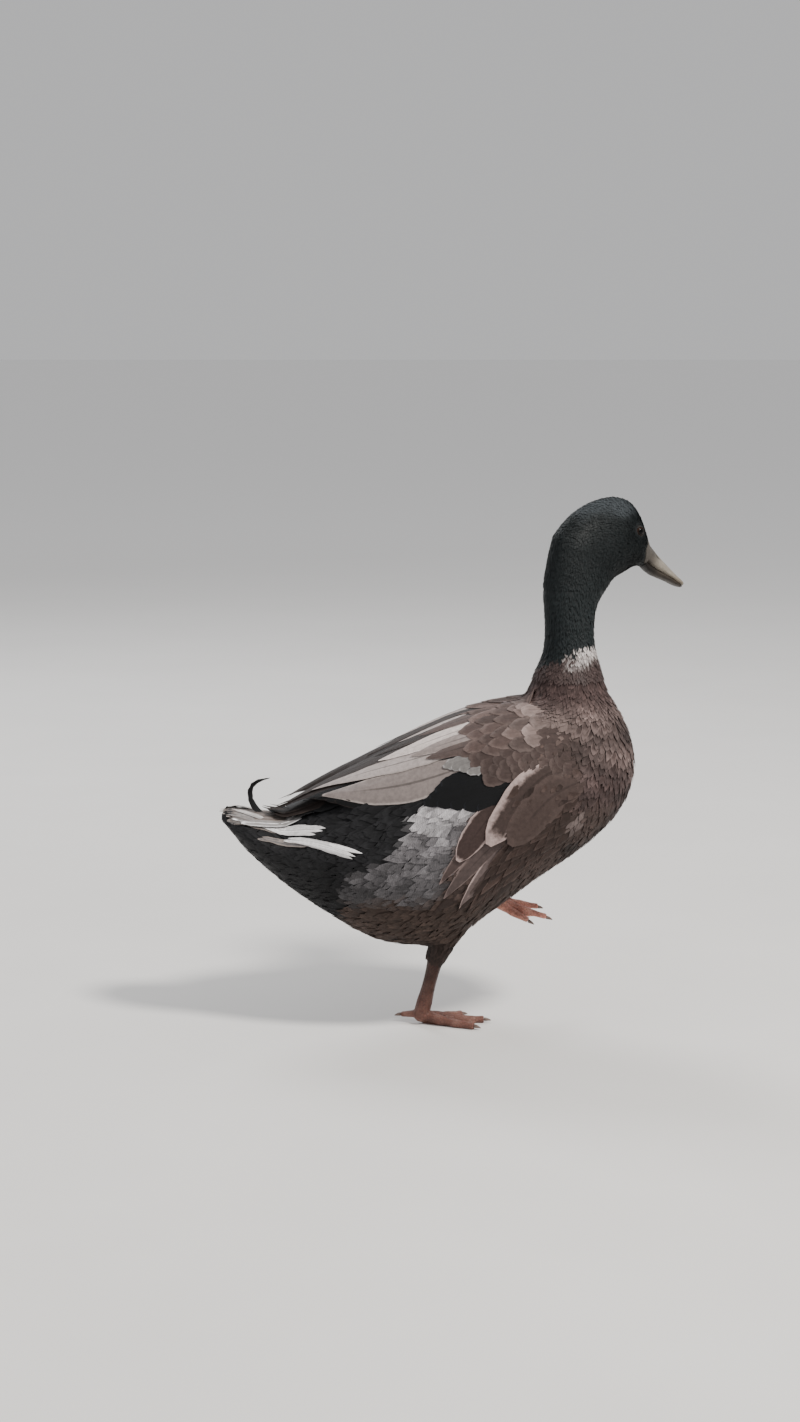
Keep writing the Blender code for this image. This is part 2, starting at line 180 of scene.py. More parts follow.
def plug(shader, **wires):
    """Leads wires into a shader's sockets."""
    for socket, wire in wires.items():
        wire.tree.links.new(wire.socket, shader.inputs[socket.replace("_", " ").title()])


pale_floor, floor_shader, wire = material("pale_floor", roughness=0.85)
where = wire.where()
away = wire.node("VectorMath", {0: where}, output="Value", operation="LENGTH")
FLOOR_TONES = [(0.3, (0.72, 0.705, 0.685)), (0.7, (0.76, 0.745, 0.725))]
near_tone = wire.node("ValToRGB", {0: wire.noise(where, 3.0)}, stops=FLOOR_TONES)
plug(floor_shader, base_color=near_tone.blend((0.93, 0.925, 0.92), away.between(0.6, 6.0)))
floor.data.materials.append(pale_floor)

world = bpy.data.worlds.new("studio")
world.use_nodes = True
backdrop = world.node_tree.nodes["Background"].inputs
backdrop["Color"].default_value, backdrop["Strength"].default_value = (0.90, 0.90, 0.91, 1), 0.62
bpy.context.scene.world = world

# Each lamp: place in metres, the size of its panel, its power and its colour.
LAMPS = {
    "key": ((1.5, -1.3, 2.7), 0.55, 125, (1.0, 0.965, 0.915)),
    "back": ((-0.9, 1.9, 2.3), 1.2, 45, (0.97, 0.98, 1.0)),
    "fill": ((-1.9, -1.9, 1.1), 1.6, 8, (0.94, 0.96, 1.0)),
}
LAMP_AIM = Vector((0, 0, 0.25))
for lamp_name, (lamp_place, lamp_size, power, lamp_colour) in LAMPS.items():
    lamp = bpy.data.lights.new(lamp_name, "AREA")
    lamp.shape, lamp.size, lamp.energy, lamp.color = "DISK", lamp_size, power, lamp_colour
    lamp_stand = stood(lamp_name, lamp)
    lamp_stand.location = lamp_place
    lamp_stand.rotation_euler = (LAMP_AIM - Vector(lamp_place)).to_track_quat("-Z", "Y").to_euler()

CAMERA_PLACE, CAMERA_TILT = (-5.07, -214.29, 62.58), 8.9  # in centimetres, and degrees downwards
SENSOR_WIDTH, LENS = 36, 60.7595  # in millimetres
camera = stood("camera", bpy.data.cameras.new("camera"))
camera.data.sensor_width, camera.data.lens = SENSOR_WIDTH, LENS
camera.location = place(*CAMERA_PLACE)
camera.rotation_euler = (math.radians(90 - CAMERA_TILT), 0, 0)
bpy.context.scene.camera = camera

# ------------------------------------------------------------------------------------------ skin
# One skin over trunk, neck, head, wings, tail root and thighs, with the scaly legs and webbed feet
# joined on under the thigh feathers. It lies inside the plumage by the coat's depth. Places on the head
# are given as if it looked straight ahead, and then turned with the neck.
HEAD_TURN, NECK_AXIS_X = math.radians(22), 10.0
HEAD_SWING = Matrix.Rotation(HEAD_TURN, 3, "Z")
MIDLINE_HEIGHT, MIDLINE_RISE = 18.5, 0.2  # a line inside the body: its height where x is 0, and its slope


def turned(x, y, z):
    """A place on the head, from centimetres as if it looked straight ahead."""
    swung = HEAD_SWING @ Vector((x - NECK_AXIS_X, y, 0))
    return place(NECK_AXIS_X + swung.x, swung.y, z)


def measured(points):
    """Rows of places in metres as centimetres on the bird."""
    return (np.asarray(points) - np.array(ORIGIN)) / CM


def ahead_measured(cm):
    """Centimetres on the bird as they would be with the head looking straight ahead."""
    c, s = math.cos(-HEAD_TURN), math.sin(-HEAD_TURN)
    x, y = cm[:, 0] - NECK_AXIS_X, cm[:, 1]
    return np.stack([NECK_AXIS_X + c * x - s * y, s * x + c * y, cm[:, 2]], axis=1)


def ease(value, low, high):
    """0 up to low, 1 from high on, and a soft rise between them."""
    share = np.clip((value - low) / (high - low), 0, 1)
    return share * share * (3 - 2 * share)


def unit(rows):
    """Rows of vectors, each made one long."""
    return rows / np.maximum(np.linalg.norm(rows, axis=-1, keepdims=True), 1e-9)


def mixed(here, there, share):
    """Colours or other rows, gone over into others by a share."""
    return np.asarray(here) * (1 - share) + np.asarray(there) * share


def angle_of(cm):
    """The angle from straight up of each place, round the line inside the body."""
    x, y, z = np.transpose(cm)
    return np.degrees(np.arctan2(np.abs(y), z - MIDLINE_HEIGHT - MIDLINE_RISE * x))


BODY_NODES = ("trunk", "neck", "head", "thigh_left", "thigh_right")
LEG_NODES = ("shank_left", "shank_right", "foot_left", "foot_right")
WING_CUT_X, TAIL_CUT_X = -9.5, -21.2  # the form takes in the wings and the tail from here forward
# In metres: the grain of the two melted skins, how far their parts are grown into each other, and how
# close two corners of a solid count as one.
BODY_VOXEL, LEG_VOXEL, OVERLAP, LEG_GROWTH, WELD = 0.0023, 0.00084, 0.0006, 0.0002, 1e-5
EYE_CM = {"left": (16.19, 1.56, 45.19), "right": (16.19, -1.56, 45.19)}
EYE_RADIUS = 0.0048


def push_out(vertices, amounts):
    """Moves vertices along their normals, each by its own amount in metres."""
    for vertex, amount in zip(vertices, amounts):
        vertex.co += vertex.normal * amount


def soften(mesh, rounds, vertices=None):
    """Smooths a mesh, or some of its vertices, a number of times over."""
    for _ in range(rounds):
        bmesh.ops.smooth_vert(
            mesh, verts=vertices or mesh.verts, factor=0.5, use_axis_x=True, use_axis_y=True, use_axis_z=True
        )
    mesh.normal_update()


def solid_copy(node, cut_at=None, ahead=Vector((1, 0, 0)), grow=OVERLAP):
    """A merged copy of a solid's mesh, cut off behind a place where one is given."""
    copy = bmesh.new()
    copy.from_mesh(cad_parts[node].data)
    bmesh.ops.remove_doubles(copy, verts=copy.verts, dist=WELD)
    if cut_at is not None:
        geometry = copy.verts[:] + copy.edges[:] + copy.faces[:]
        cut = bmesh.ops.bisect_plane(copy, geom=geometry, plane_co=cut_at, plane_no=-ahead, clear_outer=True)
        rim = [piece for piece in cut["geom_cut"] if isinstance(piece, bmesh.types.BMEdge)]
        bmesh.ops.holes_fill(copy, edges=rim, sides=0)
    copy.normal_update()
    push_out(copy.verts, [grow] * len(copy.verts))
    return copy


def melt_together(copies, voxel):
    """Solids that meet, melted into one closed mesh."""
    joined = bmesh.new()
    for copy in copies:
        part = mesh_of(copy, "part")
        joined.from_mesh(part)
        bpy.data.meshes.remove(part)
    lump = stood("melt", mesh_of(joined, "melt"))
    remesh = lump.modifiers.new("melt", "REMESH")
    remesh.mode, remesh.voxel_size = "VOXEL", voxel
    melted = bmesh.new()
    melted.from_mesh(lump.evaluated_get(bpy.context.evaluated_depsgraph_get()).data)
    bpy.data.objects.remove(lump)
    return melted


body_copies = [solid_copy(node) for node in BODY_NODES]
body_copies += [solid_copy(f"wing_{side}", cut_at=place(WING_CUT_X, 0, 0)) for side in ("left", "right")]
body_copies += [solid_copy("tail", cut_at=place(TAIL_CUT_X, 0, 0))]
form = melt_together(body_copies, BODY_VOXEL)
# The trunk, below the neck and ahead of the tail, is smoothed most, and given back what that takes off.
NECK_FOOT_Z, RUMP_X, TRUNK_ROUNDS, FORM_ROUNDS, GIVEN_BACK = 29, -14, 26, 6, 0.0004
trunk = [v for v in form.verts if v.co.z < place(0, 0, NECK_FOOT_Z).z and v.co.x > place(RUMP_X, 0, 0).x]
soften(form, TRUNK_ROUNDS, trunk)
soften(form, FORM_ROUNDS)
push_out(trunk, [GIVEN_BACK] * len(trunk))
form.normal_update()
form_tree = BVHTree.FromBMesh(form)

# The line inside the bird that its feathers lie along, from the bill's root to the tail, in centimetres.
SPINE = [
    (17.14, 2.88, 43), (14.17, 1.69, 45), (10.93, 0.37, 43), (10.1, 0, 39), (10.1, 0, 35), (9.9, 0, 31.5),
    (7.5, 0, 27), (3.5, 0, 22.5), (-3, 0, 18.5), (-10, 0, 16.8), (-16, 0, 17.5), (-21.5, 0, 19.7),
]
SPINE_STEPS = 8
spine_points = np.array([
    np.array(a) + (np.array(b) - np.array(a)) * i / SPINE_STEPS
    for a, b in zip(SPINE, SPINE[1:]) for i in range(SPINE_STEPS)
])
spine_tangents = unit(np.gradient(spine_points, axis=0))
spine_places = np.arange(len(spine_points)) / len(spine_points)
THIGHS = {  # each thigh's line down the leg, in centimetres
    "right": ((-0.5, -2.5, 10.0), (-1.72, -1.1, 6.6)),
    "left": ((0.9, 4.6, 13.2), (-1.3, 6.55, 8.5)),
}


def along_spine(cm):
    """How far along the spine each place lies, from 0 to 1, and the spine's heading there."""
    apart = ((cm[:, None, :] - spine_points[None]) ** 2).sum(axis=2)
    weights = 1 / (apart + 0.5) ** 3
    weights /= weights.sum(axis=1, keepdims=True)
    return weights @ spine_places, unit(weights @ spine_tangents)


def on_thigh(cm):
    """How much each place belongs to a thigh, and the heading down that leg."""
    most, heading = np.zeros(len(cm)), np.zeros((len(cm), 3))
    for hip, hock in THIGHS.values():
        hip, hock = np.array(hip), np.array(hock)
        share = np.clip(((cm - hip) @ (hock - hip)) / ((hock - hip) @ (hock - hip)), 0, 1.2)
        from_line = np.linalg.norm(cm - hip - share[:, None] * (hock - hip), axis=1)
        near = ease(-from_line, -2.6, -1.5) * ease(share, 0.25, 0.6)
        heading[near > most] = unit((hock - hip)[None])
        most = np.maximum(most, near)
    return most, heading


def lie_of_coat(points, normals):
    """How a feather points at each place: tailwards on the body, down the thighs, flat on the skin."""
    cm = measured(points)
    _, heading = along_spine(cm)
    thigh, down_leg = on_thigh(cm)
    heading = mixed(heading, down_leg, thigh[:, None])
    heading = heading - (heading * normals).sum(axis=1, keepdims=True) * normals
    return unit(heading)


def near_eye(cm):
    """Distance to the nearer eye, in centimetres, with the head looking straight ahead."""
    head = ahead_measured(cm)
    return np.min([np.linalg.norm(head - np.array(EYE_CM[side]), axis=1) for side in EYE_CM], axis=0)


# Where the feathers of the face end, how much further back the bare skin reaches on the cheek, and how
# soft that edge is, in centimetres; then the coat's depth on the body, and what it loses, in metres.
FACE_EDGE_X, CHEEK_REACH, EDGE_SOFTNESS = 17.62, 0.5, 0.06
BILL_ROOT_CM = (17.9, 0, 43.0)
COAT_DEPTH, LESS_ON_NECK, LESS_ON_HEAD, LESS_ON_TAIL = 0.0045, 0.0015, 0.001, 0.0012


def bare_face(cm):
    """1 on the strip of bare bill skin that reaches back over the sides of the face."""
    x, y, z = ahead_measured(cm).T
    side = ease(np.abs(y), 0.25, 0.95) * ease(z, 41.7, 42.4) * (1 - ease(z, 43.3, 44.3))
    edge = FACE_EDGE_X - CHEEK_REACH * side
    return ease(x, edge - EDGE_SOFTNESS, edge + EDGE_SOFTNESS) * ease(z, 38, 39)


def coat_depth(cm):
    """How far the coat stands over the skin, in metres."""
    depth = COAT_DEPTH - LESS_ON_NECK * ease(cm[:, 2], 28, 33) - LESS_ON_HEAD * ease(cm[:, 2], 37, 42)
    depth -= LESS_ON_TAIL * ease(-cm[:, 0], 12, 17)
    from_bill = np.linalg.norm(ahead_measured(cm) - np.array(BILL_ROOT_CM), axis=1)
    face = np.maximum(ease(-near_eye(cm), -1.0, -0.5), ease(-from_bill, -2.2, -1.2))
    return depth * (1 - 0.9 * face) * (1 - 0.75 * on_thigh(cm)[0] * ease(-cm[:, 2], -10.5, -7.5))


# The plumage's colours, and where each lies. Every feather takes its ground and the colour of its fringe
# from here, and so does the skin under it.
HEAD_BLACK, NAPE_SHEEN = (0.0058, 0.0072, 0.0080), (0.0074, 0.0108, 0.0116)
# The crown's lighter grey is painted sheen, a painted reflection on top of the head.
CROWN_PAINTED_SHEEN, CROWN_PAINTED_SHEEN_EDGE = (0.034, 0.040, 0.045), (0.056, 0.064, 0.071)
COLLAR, COLLAR_EDGE = (0.50, 0.44, 0.43), (0.66, 0.60, 0.58)
NECK_BROWN, NECK_EDGE = (0.038, 0.0235, 0.0215), (0.070, 0.046, 0.043)
MANTLE, MANTLE_EDGE = (0.074, 0.051, 0.046), (0.128, 0.094, 0.087)
BREAST, BREAST_EDGE = (0.035, 0.0220, 0.0200), (0.066, 0.0455, 0.0430)
# Lower flank and belly: their own brown, painted darker still as painted shade under the body.
BELLY_IN_SHADE, BELLY_IN_SHADE_EDGE = (0.032, 0.021, 0.017), (0.050, 0.034, 0.028)
LOW_FLANK_IN_SHADE, LOW_FLANK_IN_SHADE_EDGE = (0.040, 0.027, 0.023), (0.068, 0.047, 0.041)
# Soft patches on the breast and shoulder: the middle and the reach in centimetres, and the colour. The pale
# patch high on the shoulder is a painted pool of light, and the dark one just below it is a painted shadow.
SPOTS_AND_PAINTED_LIGHT = (
    ((11.8, 5.0, 19.4), 3.0, (0.068, 0.047, 0.041)), ((10.5, 6.0, 19.8), 1.3, (0.170, 0.135, 0.128)),
    ((8.6, 5.0, 28.6), 2.2, (0.170, 0.128, 0.117)), ((10.1, 6.0, 26.3), 1.5, (0.026, 0.018, 0.016)),
)
BEND_BROWN, BEND_EDGE = (0.049, 0.031, 0.026), (0.074, 0.050, 0.043)
THIGH_BROWN, THIGH_EDGE = (0.020, 0.013, 0.011), (0.032, 0.021, 0.018)
FLANK_GREY, FLANK_WHITE = (0.138, 0.130, 0.136), (0.45, 0.43, 0.44)
RUMP_BLACK, RUMP_EDGE = (0.0050, 0.0050, 0.0056), (0.0105, 0.0105, 0.0115)
BILL_OLIVE = (0.072, 0.060, 0.050)
LID_BLACK = (0.02, 0.019, 0.018)
# The front edge of the black of the rump: heights, and its x at each.
BLACK_FRONT_Z = [9, 11.5, 13.5, 15.3, 17.0, 18.2, 21.3, 24]
BLACK_FRONT_X = [-10.6, -10.3, -10.0, -9.2, -6.6, -5.1, -3.9, -3.0]
WAVES, WAVES_REACH = 5, 2.6  # how many waves make an unevenness, and about how far they add up


def wavering(cm, size, seed):
    """A soft unevenness of about the given size in centimetres, from -1 to 1."""
    waves = np.zeros(len(cm))
    wave_rng = np.random.default_rng(seed)
    for _ in range(WAVES):
        waves += np.sin(cm @ (wave_rng.normal(size=3) * 2.2 / size) + wave_rng.uniform(0, 6.28))
    return waves / WAVES_REACH


def markings(cm, jitter=0.0):
    """Ground colour, fringe colour and strength of the fine barring at each place on the bird."""
    x, y, z = cm.T
    count = len(cm)
    ground, fringe, barred = np.tile(BREAST, (count, 1)), np.tile(BREAST_EDGE, (count, 1)), np.zeros(count)

    def paint(share, new_ground, new_fringe, bars=0.0):
        nonlocal ground, fringe, barred
        ground = mixed(ground, new_ground, share[:, None])
        fringe = mixed(fringe, new_fringe, share[:, None])
        barred = mixed(barred, bars, share)

    swing = wavering(cm, 2.4, 5) * 0.45 + jitter * 0.5
    round_axis = angle_of(cm)
    paint(ease(-round_axis, -72, -42) * ease(z, 22, 26), MANTLE, MANTLE_EDGE)
    # Painted shade: the lower flank and the belly are painted darker, over their own brown.
    paint(ease(-(z + swing), -21.5, -17.5), LOW_FLANK_IN_SHADE, LOW_FLANK_IN_SHADE_EDGE)
    paint(ease(-(z + swing), -15.5, -11.5), BELLY_IN_SHADE, BELLY_IN_SHADE_EDGE)
    # The breast is blotched, and the bend of the wing is an even warm brown.
    blotches = (1 + 0.5 * wavering(cm, 1.5, 31) * ease(x, 8, 10.5))[:, None]
    ground, fringe = ground * blotches, fringe * blotches
    bend = ease(x + swing, 4, 6) * (1 - ease(x + swing * 1.2, 9.6, 11.0)) * ease(round_axis, 30, 38)
    paint(bend * (1 - ease(round_axis, 88, 104)), BEND_BROWN, BEND_EDGE)
    # The patches are painted in, among them the shoulder's painted light and the painted shadow under it.
    for centre, reach, ground_there in SPOTS_AND_PAINTED_LIGHT:
        away = np.linalg.norm((cm * (1, 0, 1)) + np.abs(cm) * (0, 1, 0) - centre, axis=1) + swing * 0.5
        paint(0.75 * (1 - ease(away, 0.45 * reach, reach)), ground_there, ground_there)
    paint(on_thigh(cm)[0], THIGH_BROWN, THIGH_EDGE)
    # Silver-grey of the rear flank, whitest just under the wing, and painted darker towards the bottom as
    # painted shade.
    grey_front = -2.4 + 0.40 * (z - 12.1)
    grey = ease(grey_front - x - swing * 0.8, -0.5, 0.6) * ease(z + swing, 11.8, 13.6)
    white = ease(z + wavering(cm, 1.5, 9) * 1.6, 18.5, 21.0)[:, None]
    silver = mixed(np.array(FLANK_GREY) * (0.40 + 0.60 * ease(z, 12.0, 17.5)[:, None]), FLANK_WHITE, white)
    patchy = (1 + 0.4 * wavering(cm, 1.6, 21))[:, None]
    paint(grey, silver * patchy, silver * patchy * 1.15, 0.6)
    # Black over the rump, round under the tail and down to the vent.
    black = ease(np.interp(z, BLACK_FRONT_Z, BLACK_FRONT_X) - x - swing * 0.5, -0.3, 0.35)
    # Painted light and shade: the black is painted lighter on top and darker low down, near the floor.
    upper = 0.7 + 0.65 * ease(z, 12, 19)[:, None]
    paint(black, np.array(RUMP_BLACK) * upper, np.array(RUMP_EDGE) * upper)
    # Neck: brown at its foot, a broken pale collar in front, black with a green sheen above it.
    paint(ease(z, 28.5, 31.0), NECK_BROWN, NECK_EDGE)
    edge_of_black = 33.35 + 0.36 * (x - 8.0) + wavering(cm, 0.9, 3) * 0.16 + jitter * 0.3
    collar = ease(z, edge_of_black - 1.8, edge_of_black - 0.7) * ease(x + jitter, 9.3, 11.4)
    paint(np.clip(collar * (0.72 + 0.42 * wavering(cm, 0.6, 13)), 0, 1), COLLAR, COLLAR_EDGE)
    lower = 1.3 - 0.42 * ease(z, 37.5, 42.5)[:, None]
    black = ease(z, edge_of_black - 0.12, edge_of_black + 0.12)
    paint(black, np.array(HEAD_BLACK) * lower, np.array(NAPE_SHEEN) * lower)
    # Painted reflection: the top of the head is painted a lighter grey.
    paint(ease(z + 0.3 * wavering(cm, 1.5, 17), 46.0, 47.5) * 0.9, CROWN_PAINTED_SHEEN, CROWN_PAINTED_SHEEN_EDGE)
    return np.clip(ground, 0.002, 1), np.clip(fringe, 0.002, 1), np.clip(barred, 0, 1)


def lay_on(data, name, values):
    """A colour or a number for every point of a mesh, kept in a layer of it."""
    values = np.asarray(values, dtype=np.float32)
    if values.ndim == 2:
        values = np.concatenate([values, np.ones((len(values), 1), dtype=np.float32)], axis=1)
        data.attributes.new(name, "FLOAT_COLOR", "POINT").data.foreach_set("color", values.ravel())
    else:
        data.attributes.new(name, "FLOAT", "POINT").data.foreach_set("value", values)


def eye_facing(side):
    """The turn that leads a ball's upper pole out of an eye's socket."""
    outwards = Vector((0.16, 1 if side == "left" else -1, 0.05)).normalized()
    return HEAD_SWING @ Vector((0, 0, 1)).rotation_difference(outwards).to_matrix()


skin_mesh = form.copy()
push_out(skin_mesh.verts, -coat_depth(measured([v.co for v in skin_mesh.verts])))

# Eyelids: thin shells over each eyeball, open in front in a slightly flattened oval.
LID_OPEN, LID_FLAT, LID_THICK, LID_GAP = math.radians(56), 0.86, 0.0005, 0.00012
for side in EYE_CM:
    lid = bmesh.new()
    bmesh.ops.create_uvsphere(lid, u_segments=40, v_segments=28, radius=EYE_RADIUS + LID_GAP)
    opened = []
    for vertex in lid.verts:
        direction = vertex.co.normalized()
        round_eye = math.atan2(direction.y, direction.x)
        limit = LID_OPEN * (1 - (1 - LID_FLAT) * abs(math.sin(round_eye)))
        if direction.angle(Vector((0, 0, 1)), 0) < limit or direction.z < -0.1:
            opened.append(vertex)
    bmesh.ops.delete(lid, geom=opened, context="VERTS")
    bmesh.ops.solidify(lid, geom=lid.faces, thickness=-LID_THICK)
    bmesh.ops.transform(lid, matrix=eye_facing(side), verts=lid.verts)
    bmesh.ops.translate(lid, vec=turned(*EYE_CM[side]), verts=lid.verts)
    skin_mesh.from_mesh(mesh_of(lid, "lid"))

legs = melt_together([solid_copy(node, grow=LEG_GROWTH) for node in LEG_NODES], LEG_VOXEL)
soften(legs, 3)
for face in legs.faces:
    face.material_index = 1
skin_mesh.from_mesh(mesh_of(legs, "legs"))
skin = stood("skin", mesh_of(skin_mesh, "skin", smooth=True))
skin_cm = measured([v.co for v in skin.data.vertices])
lid_share = ease(-near_eye(skin_cm), -0.66, -0.60) * ease(skin_cm[:, 2], 38, 39)
skin_tint = mixed(markings(skin_cm)[0], BILL_OLIVE, bare_face(skin_cm)[:, None])
lay_on(skin.data, "ground", mixed(skin_tint, LID_BLACK, lid_share[:, None]))
# The legs are painted darker towards the hock as painted shade under the body, the planted one all over, and
# the lifted foot, out in the light, is painted lighter as painted light.
from_hock = np.min([np.linalg.norm(skin_cm - np.array(hock), axis=1) for _, hock in THIGHS.values()], axis=0)
up_shank, lifted = 1 - ease(from_hock, 1.0, 6.6), skin_cm[:, 1] > 2.5
lay_on(skin.data, "leg_painted_light_and_shade", np.where(lifted, 1.3 * up_shank - 0.95, 0.42 + 0.42 * up_shank**0.5))

feathered_skin, skin_shader, wire = material("feathered_skin", roughness=0.75, specular_ior_level=0.25)
spots = wire.noise(wire.where(), 420.0, 4.0)
down = wire.layer("ground", "Color").darker(spots.between(0.2, 0.8) * 0.6 + 0.6)
plug(skin_shader, base_color=down, normal=wire.bump(spots, 0.5, 0.0006))

LEG_PINK, LEG_DARK, LEG_PALE = (0.31, 0.140, 0.108), (0.165, 0.073, 0.056), (0.44, 0.240, 0.190)
scaly_leg, leg_shader, wire = material(
    "scaly_leg", roughness=0.5, specular_ior_level=0.25, subsurface_weight=0.12, subsurface_scale=0.004
)
where = wire.where()
stretched = wire.node("Mapping", {"Vector": where, "Scale": (1.0, 1.0, 1.25)})
scute_gap = wire.node("TexVoronoi", {"Vector": stretched, "Scale": 430.0}, feature="DISTANCE_TO_EDGE")
scutes = scute_gap.between(0.0, 0.16)
blotches = wire.noise(where, 70.0, 4.0)
tone = wire.node("ValToRGB", {0: blotches}, stops=[(0.3, LEG_DARK), (0.5, LEG_PINK), (0.75, LEG_PALE)])
plug(
    leg_shader,
    # The leg's colour takes the painted shade, and on the lifted foot the painted light.
    base_color=tone.darker((scutes * 0.35 + 0.65) * (1 - wire.layer("leg_painted_light_and_shade"))),
    roughness=0.62 - scutes * 0.2,
    normal=wire.bump(scutes + blotches * 0.4, 0.6, 0.0005),
)
skin.data.materials.append(feathered_skin)
skin.data.materials.append(scaly_leg)
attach(skin, "root")
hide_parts(*BODY_NODES, *LEG_NODES)

# ------------------------------------------------------------------------------------------ small feathers
# Contour feathers, scattered evenly over the skin and laid like shingles, each a closed vane with a
# ragged tip. They are smallest on the face, and longest on the flanks and back.
rng = np.random.default_rng(11)


class Vane:
    """The grid that a feather is made from: rows from root to tip, columns across, and an underside."""

    def __init__(self, rows, columns, widths):
        self.v = np.linspace(0, 1, rows) ** 0.9
        self.u = np.linspace(-1, 1, columns)
        self.width = np.interp(self.v, *np.array(widths).T)
        rest = rows * columns
        self.faces = []
        for r in range(rows - 1):
            for c in range(columns - 1):
                corner = r * columns + c
                self.faces.append((corner, corner + 1, corner + columns + 1, corner + columns))
            for c in range(2):
                corner = rest + r * 3 + c
                self.faces.append((corner, corner + 3, corner + 4, corner + 1))
        across = np.concatenate([np.tile(self.u, rows), np.tile([-1, 0, 1], rows)])
        along = np.concatenate([np.repeat(self.v, columns), np.repeat(self.v, 3)])
        self.uv = np.stack([across / 2 + 0.5, along], axis=1)


CONTOUR = [(0, 0.35), (0.25, 0.8), (0.5, 1.0), (0.75, 0.84), (0.9, 0.5), (1, 0.12)]
small_vane = Vane(4, 3, CONTOUR)
contour_vane = Vane(6, 7, CONTOUR)
VANE_THICKNESS = 0.0003


def march(starts, lengths, yaw, vane):
    """Each feather's centre line over the plumage's form: places, normals and headings row by row."""
    at = np.array(starts)
    rows = len(vane.v)
    places, normals, headings = (np.zeros((rows, len(at), 3)) for _ in range(3))
    for r in range(rows):
        for i, point in enumerate(at):
            nearest = form_tree.find_nearest(Vector(point))
            places[r, i], normals[r, i] = nearest[0], nearest[1]
        lie = lie_of_coat(places[r], normals[r])
        sideways = np.cross(normals[r], lie)
        headings[r] = lie * np.cos(yaw)[:, None] + sideways * np.sin(yaw)[:, None]
        if r + 1 < rows:
            at = places[r] + headings[r] * (lengths * (vane.v[r + 1] - vane.v[r]))[:, None]
    smooth = normals.copy()
    smooth[1:-1] = normals[:-2] + normals[1:-1] * 2 + normals[2:]
    return places, unit(smooth), headings


def vane_points(vane, places, normals, headings, half_widths, heights, camber=0.1, ragged=0.16):
    """The points of many feathers, from their centre lines, half widths and heights row by row."""
    count = places.shape[1]
    sideways = unit(np.cross(headings, normals))
    top, under = [], []
    for r, v in enumerate(vane.v):
        reach = half_widths * vane.width[r]
        ends = 0.0 if r in (0, len(vane.v) - 1) else 1.0
        for u in vane.u:
            shake = rng.normal(0, ragged, (2, count)) * (0.4 + 0.6 * v)
            across = (u * (1 + shake[0] * abs(u)) * reach)[:, None]
            lift = (heights[r] - camber * reach * u * u * (0.4 + 0.6 * v))[:, None]
            onwards = (shake[1] * half_widths * (v > 0.7) * 1.8)[:, None]
            top.append(places[r] + sideways[r] * across + normals[r] * lift + headings[r] * onwards)
        left, right = top[-len(vane.u)], top[-1]
        middle = top[-(len(vane.u) + 1) // 2]
        under += [left, middle - normals[r] * VANE_THICKNESS * ends, right]
    return np.stack(top + under, axis=1)


def unwrap_place(cm):
    """Where a place on the skin lies on an unwrap of the skin: along the spine and round it."""
    share, heading = along_spine(cm)
    nearest = spine_points[np.clip((share * len(spine_points)).astype(int), 0, len(spine_points) - 1)]
    away = cm - nearest
    upright = np.tile((0.0, 0.0, 1.0), (len(cm), 1)) - heading * heading[:, 2:3]
    level = np.tile((1.0, 0.0, 0.0), (len(cm), 1)) - heading * heading[:, 0:1]
    upright = unit(np.where(np.abs(heading[:, 2:3]) > 0.75, -level, upright))
    round_spine = np.arctan2((np.cross(heading, upright) * away).sum(axis=1), (upright * away).sum(axis=1))
    return np.stack([0.02 + 0.96 * share, 0.5 + 0.48 * round_spine / math.pi], axis=1)


FINISHES = {}


def plumage_finish(name, shaft, **fixed):
    """Feather: a ground with a paler fringe, a shaft, fine barbs, and dark wavy bars where it is barred."""
    FINISHES[name], shader, wire = material(name, **fixed)
    where, uv = wire.where(), wire.node("UVMap", uv_map="vane")
    across, along = (wire.node("SeparateXYZ", {0: uv}, axis) for axis in "XY")
    seed, width, depth, barred = (wire.layer(layer) for layer in ("seed", "rim", "tip", "barred"))
    from_shaft = (across - 0.5).size() * 2.0
    uneven = wire.noise(where, 260.0, 3.0)
    sides, end = (
        (reach + (uneven - 0.5) * band).between(1.0 - band * 1.7, 1.0 - band * 0.35)
        for reach, band in ((from_shaft, width), (along, depth))
    )
    tint = wire.layer("ground", "Color").blend(wire.layer("fringe", "Color"), sides.most(end))
    quill = (1 - from_shaft.between(0.03, 0.1)) * (1 - along.between(0.55, 0.9))
    waves = {"Vector": where, "Scale": 210.0, "Distortion": 9.0, "Detail": 2.0, "Detail Scale": 1.6}
    bars = wire.node("TexWave", waves, output="Fac")
    tint = tint.darker(1 - quill * shaft).darker(1 - barred * (1 - bars.between(0.3, 0.7)) * 0.45)
    barbs = wire.maths("SINE", (along * 0.8 - from_shaft * 0.5 + seed) * 190.0)
    worn = (seed * 0.26 + 0.87) * (barbs * 0.07 + 0.96) * (uneven.between(0.2, 0.8) * 0.36 + 0.82)
    height = barbs * 0.35 + uneven * 0.8 + quill * 1.2
    plug(shader, base_color=tint.darker(worn), normal=wire.bump(height, 0.35, 0.0003))


plumage_finish("brown_plumage", 0.25, roughness=0.7, specular_ior_level=0.18)
plumage_finish(
    "green_black_plumage", 0.0, roughness=0.6, specular_ior_level=0.22, coat_weight=0.05, coat_roughness=0.35,
    coat_tint=(0.35, 0.7, 0.7, 1),
)
plumage_finish("grey_wing_plumage", 0.5, roughness=0.62, specular_ior_level=0.25)
plumage_finish("black_plumage", 0.2, roughness=0.6, specular_ior_level=0.2)
BAKE_PATCH = 0.003  # a share of the unwrap's whole width


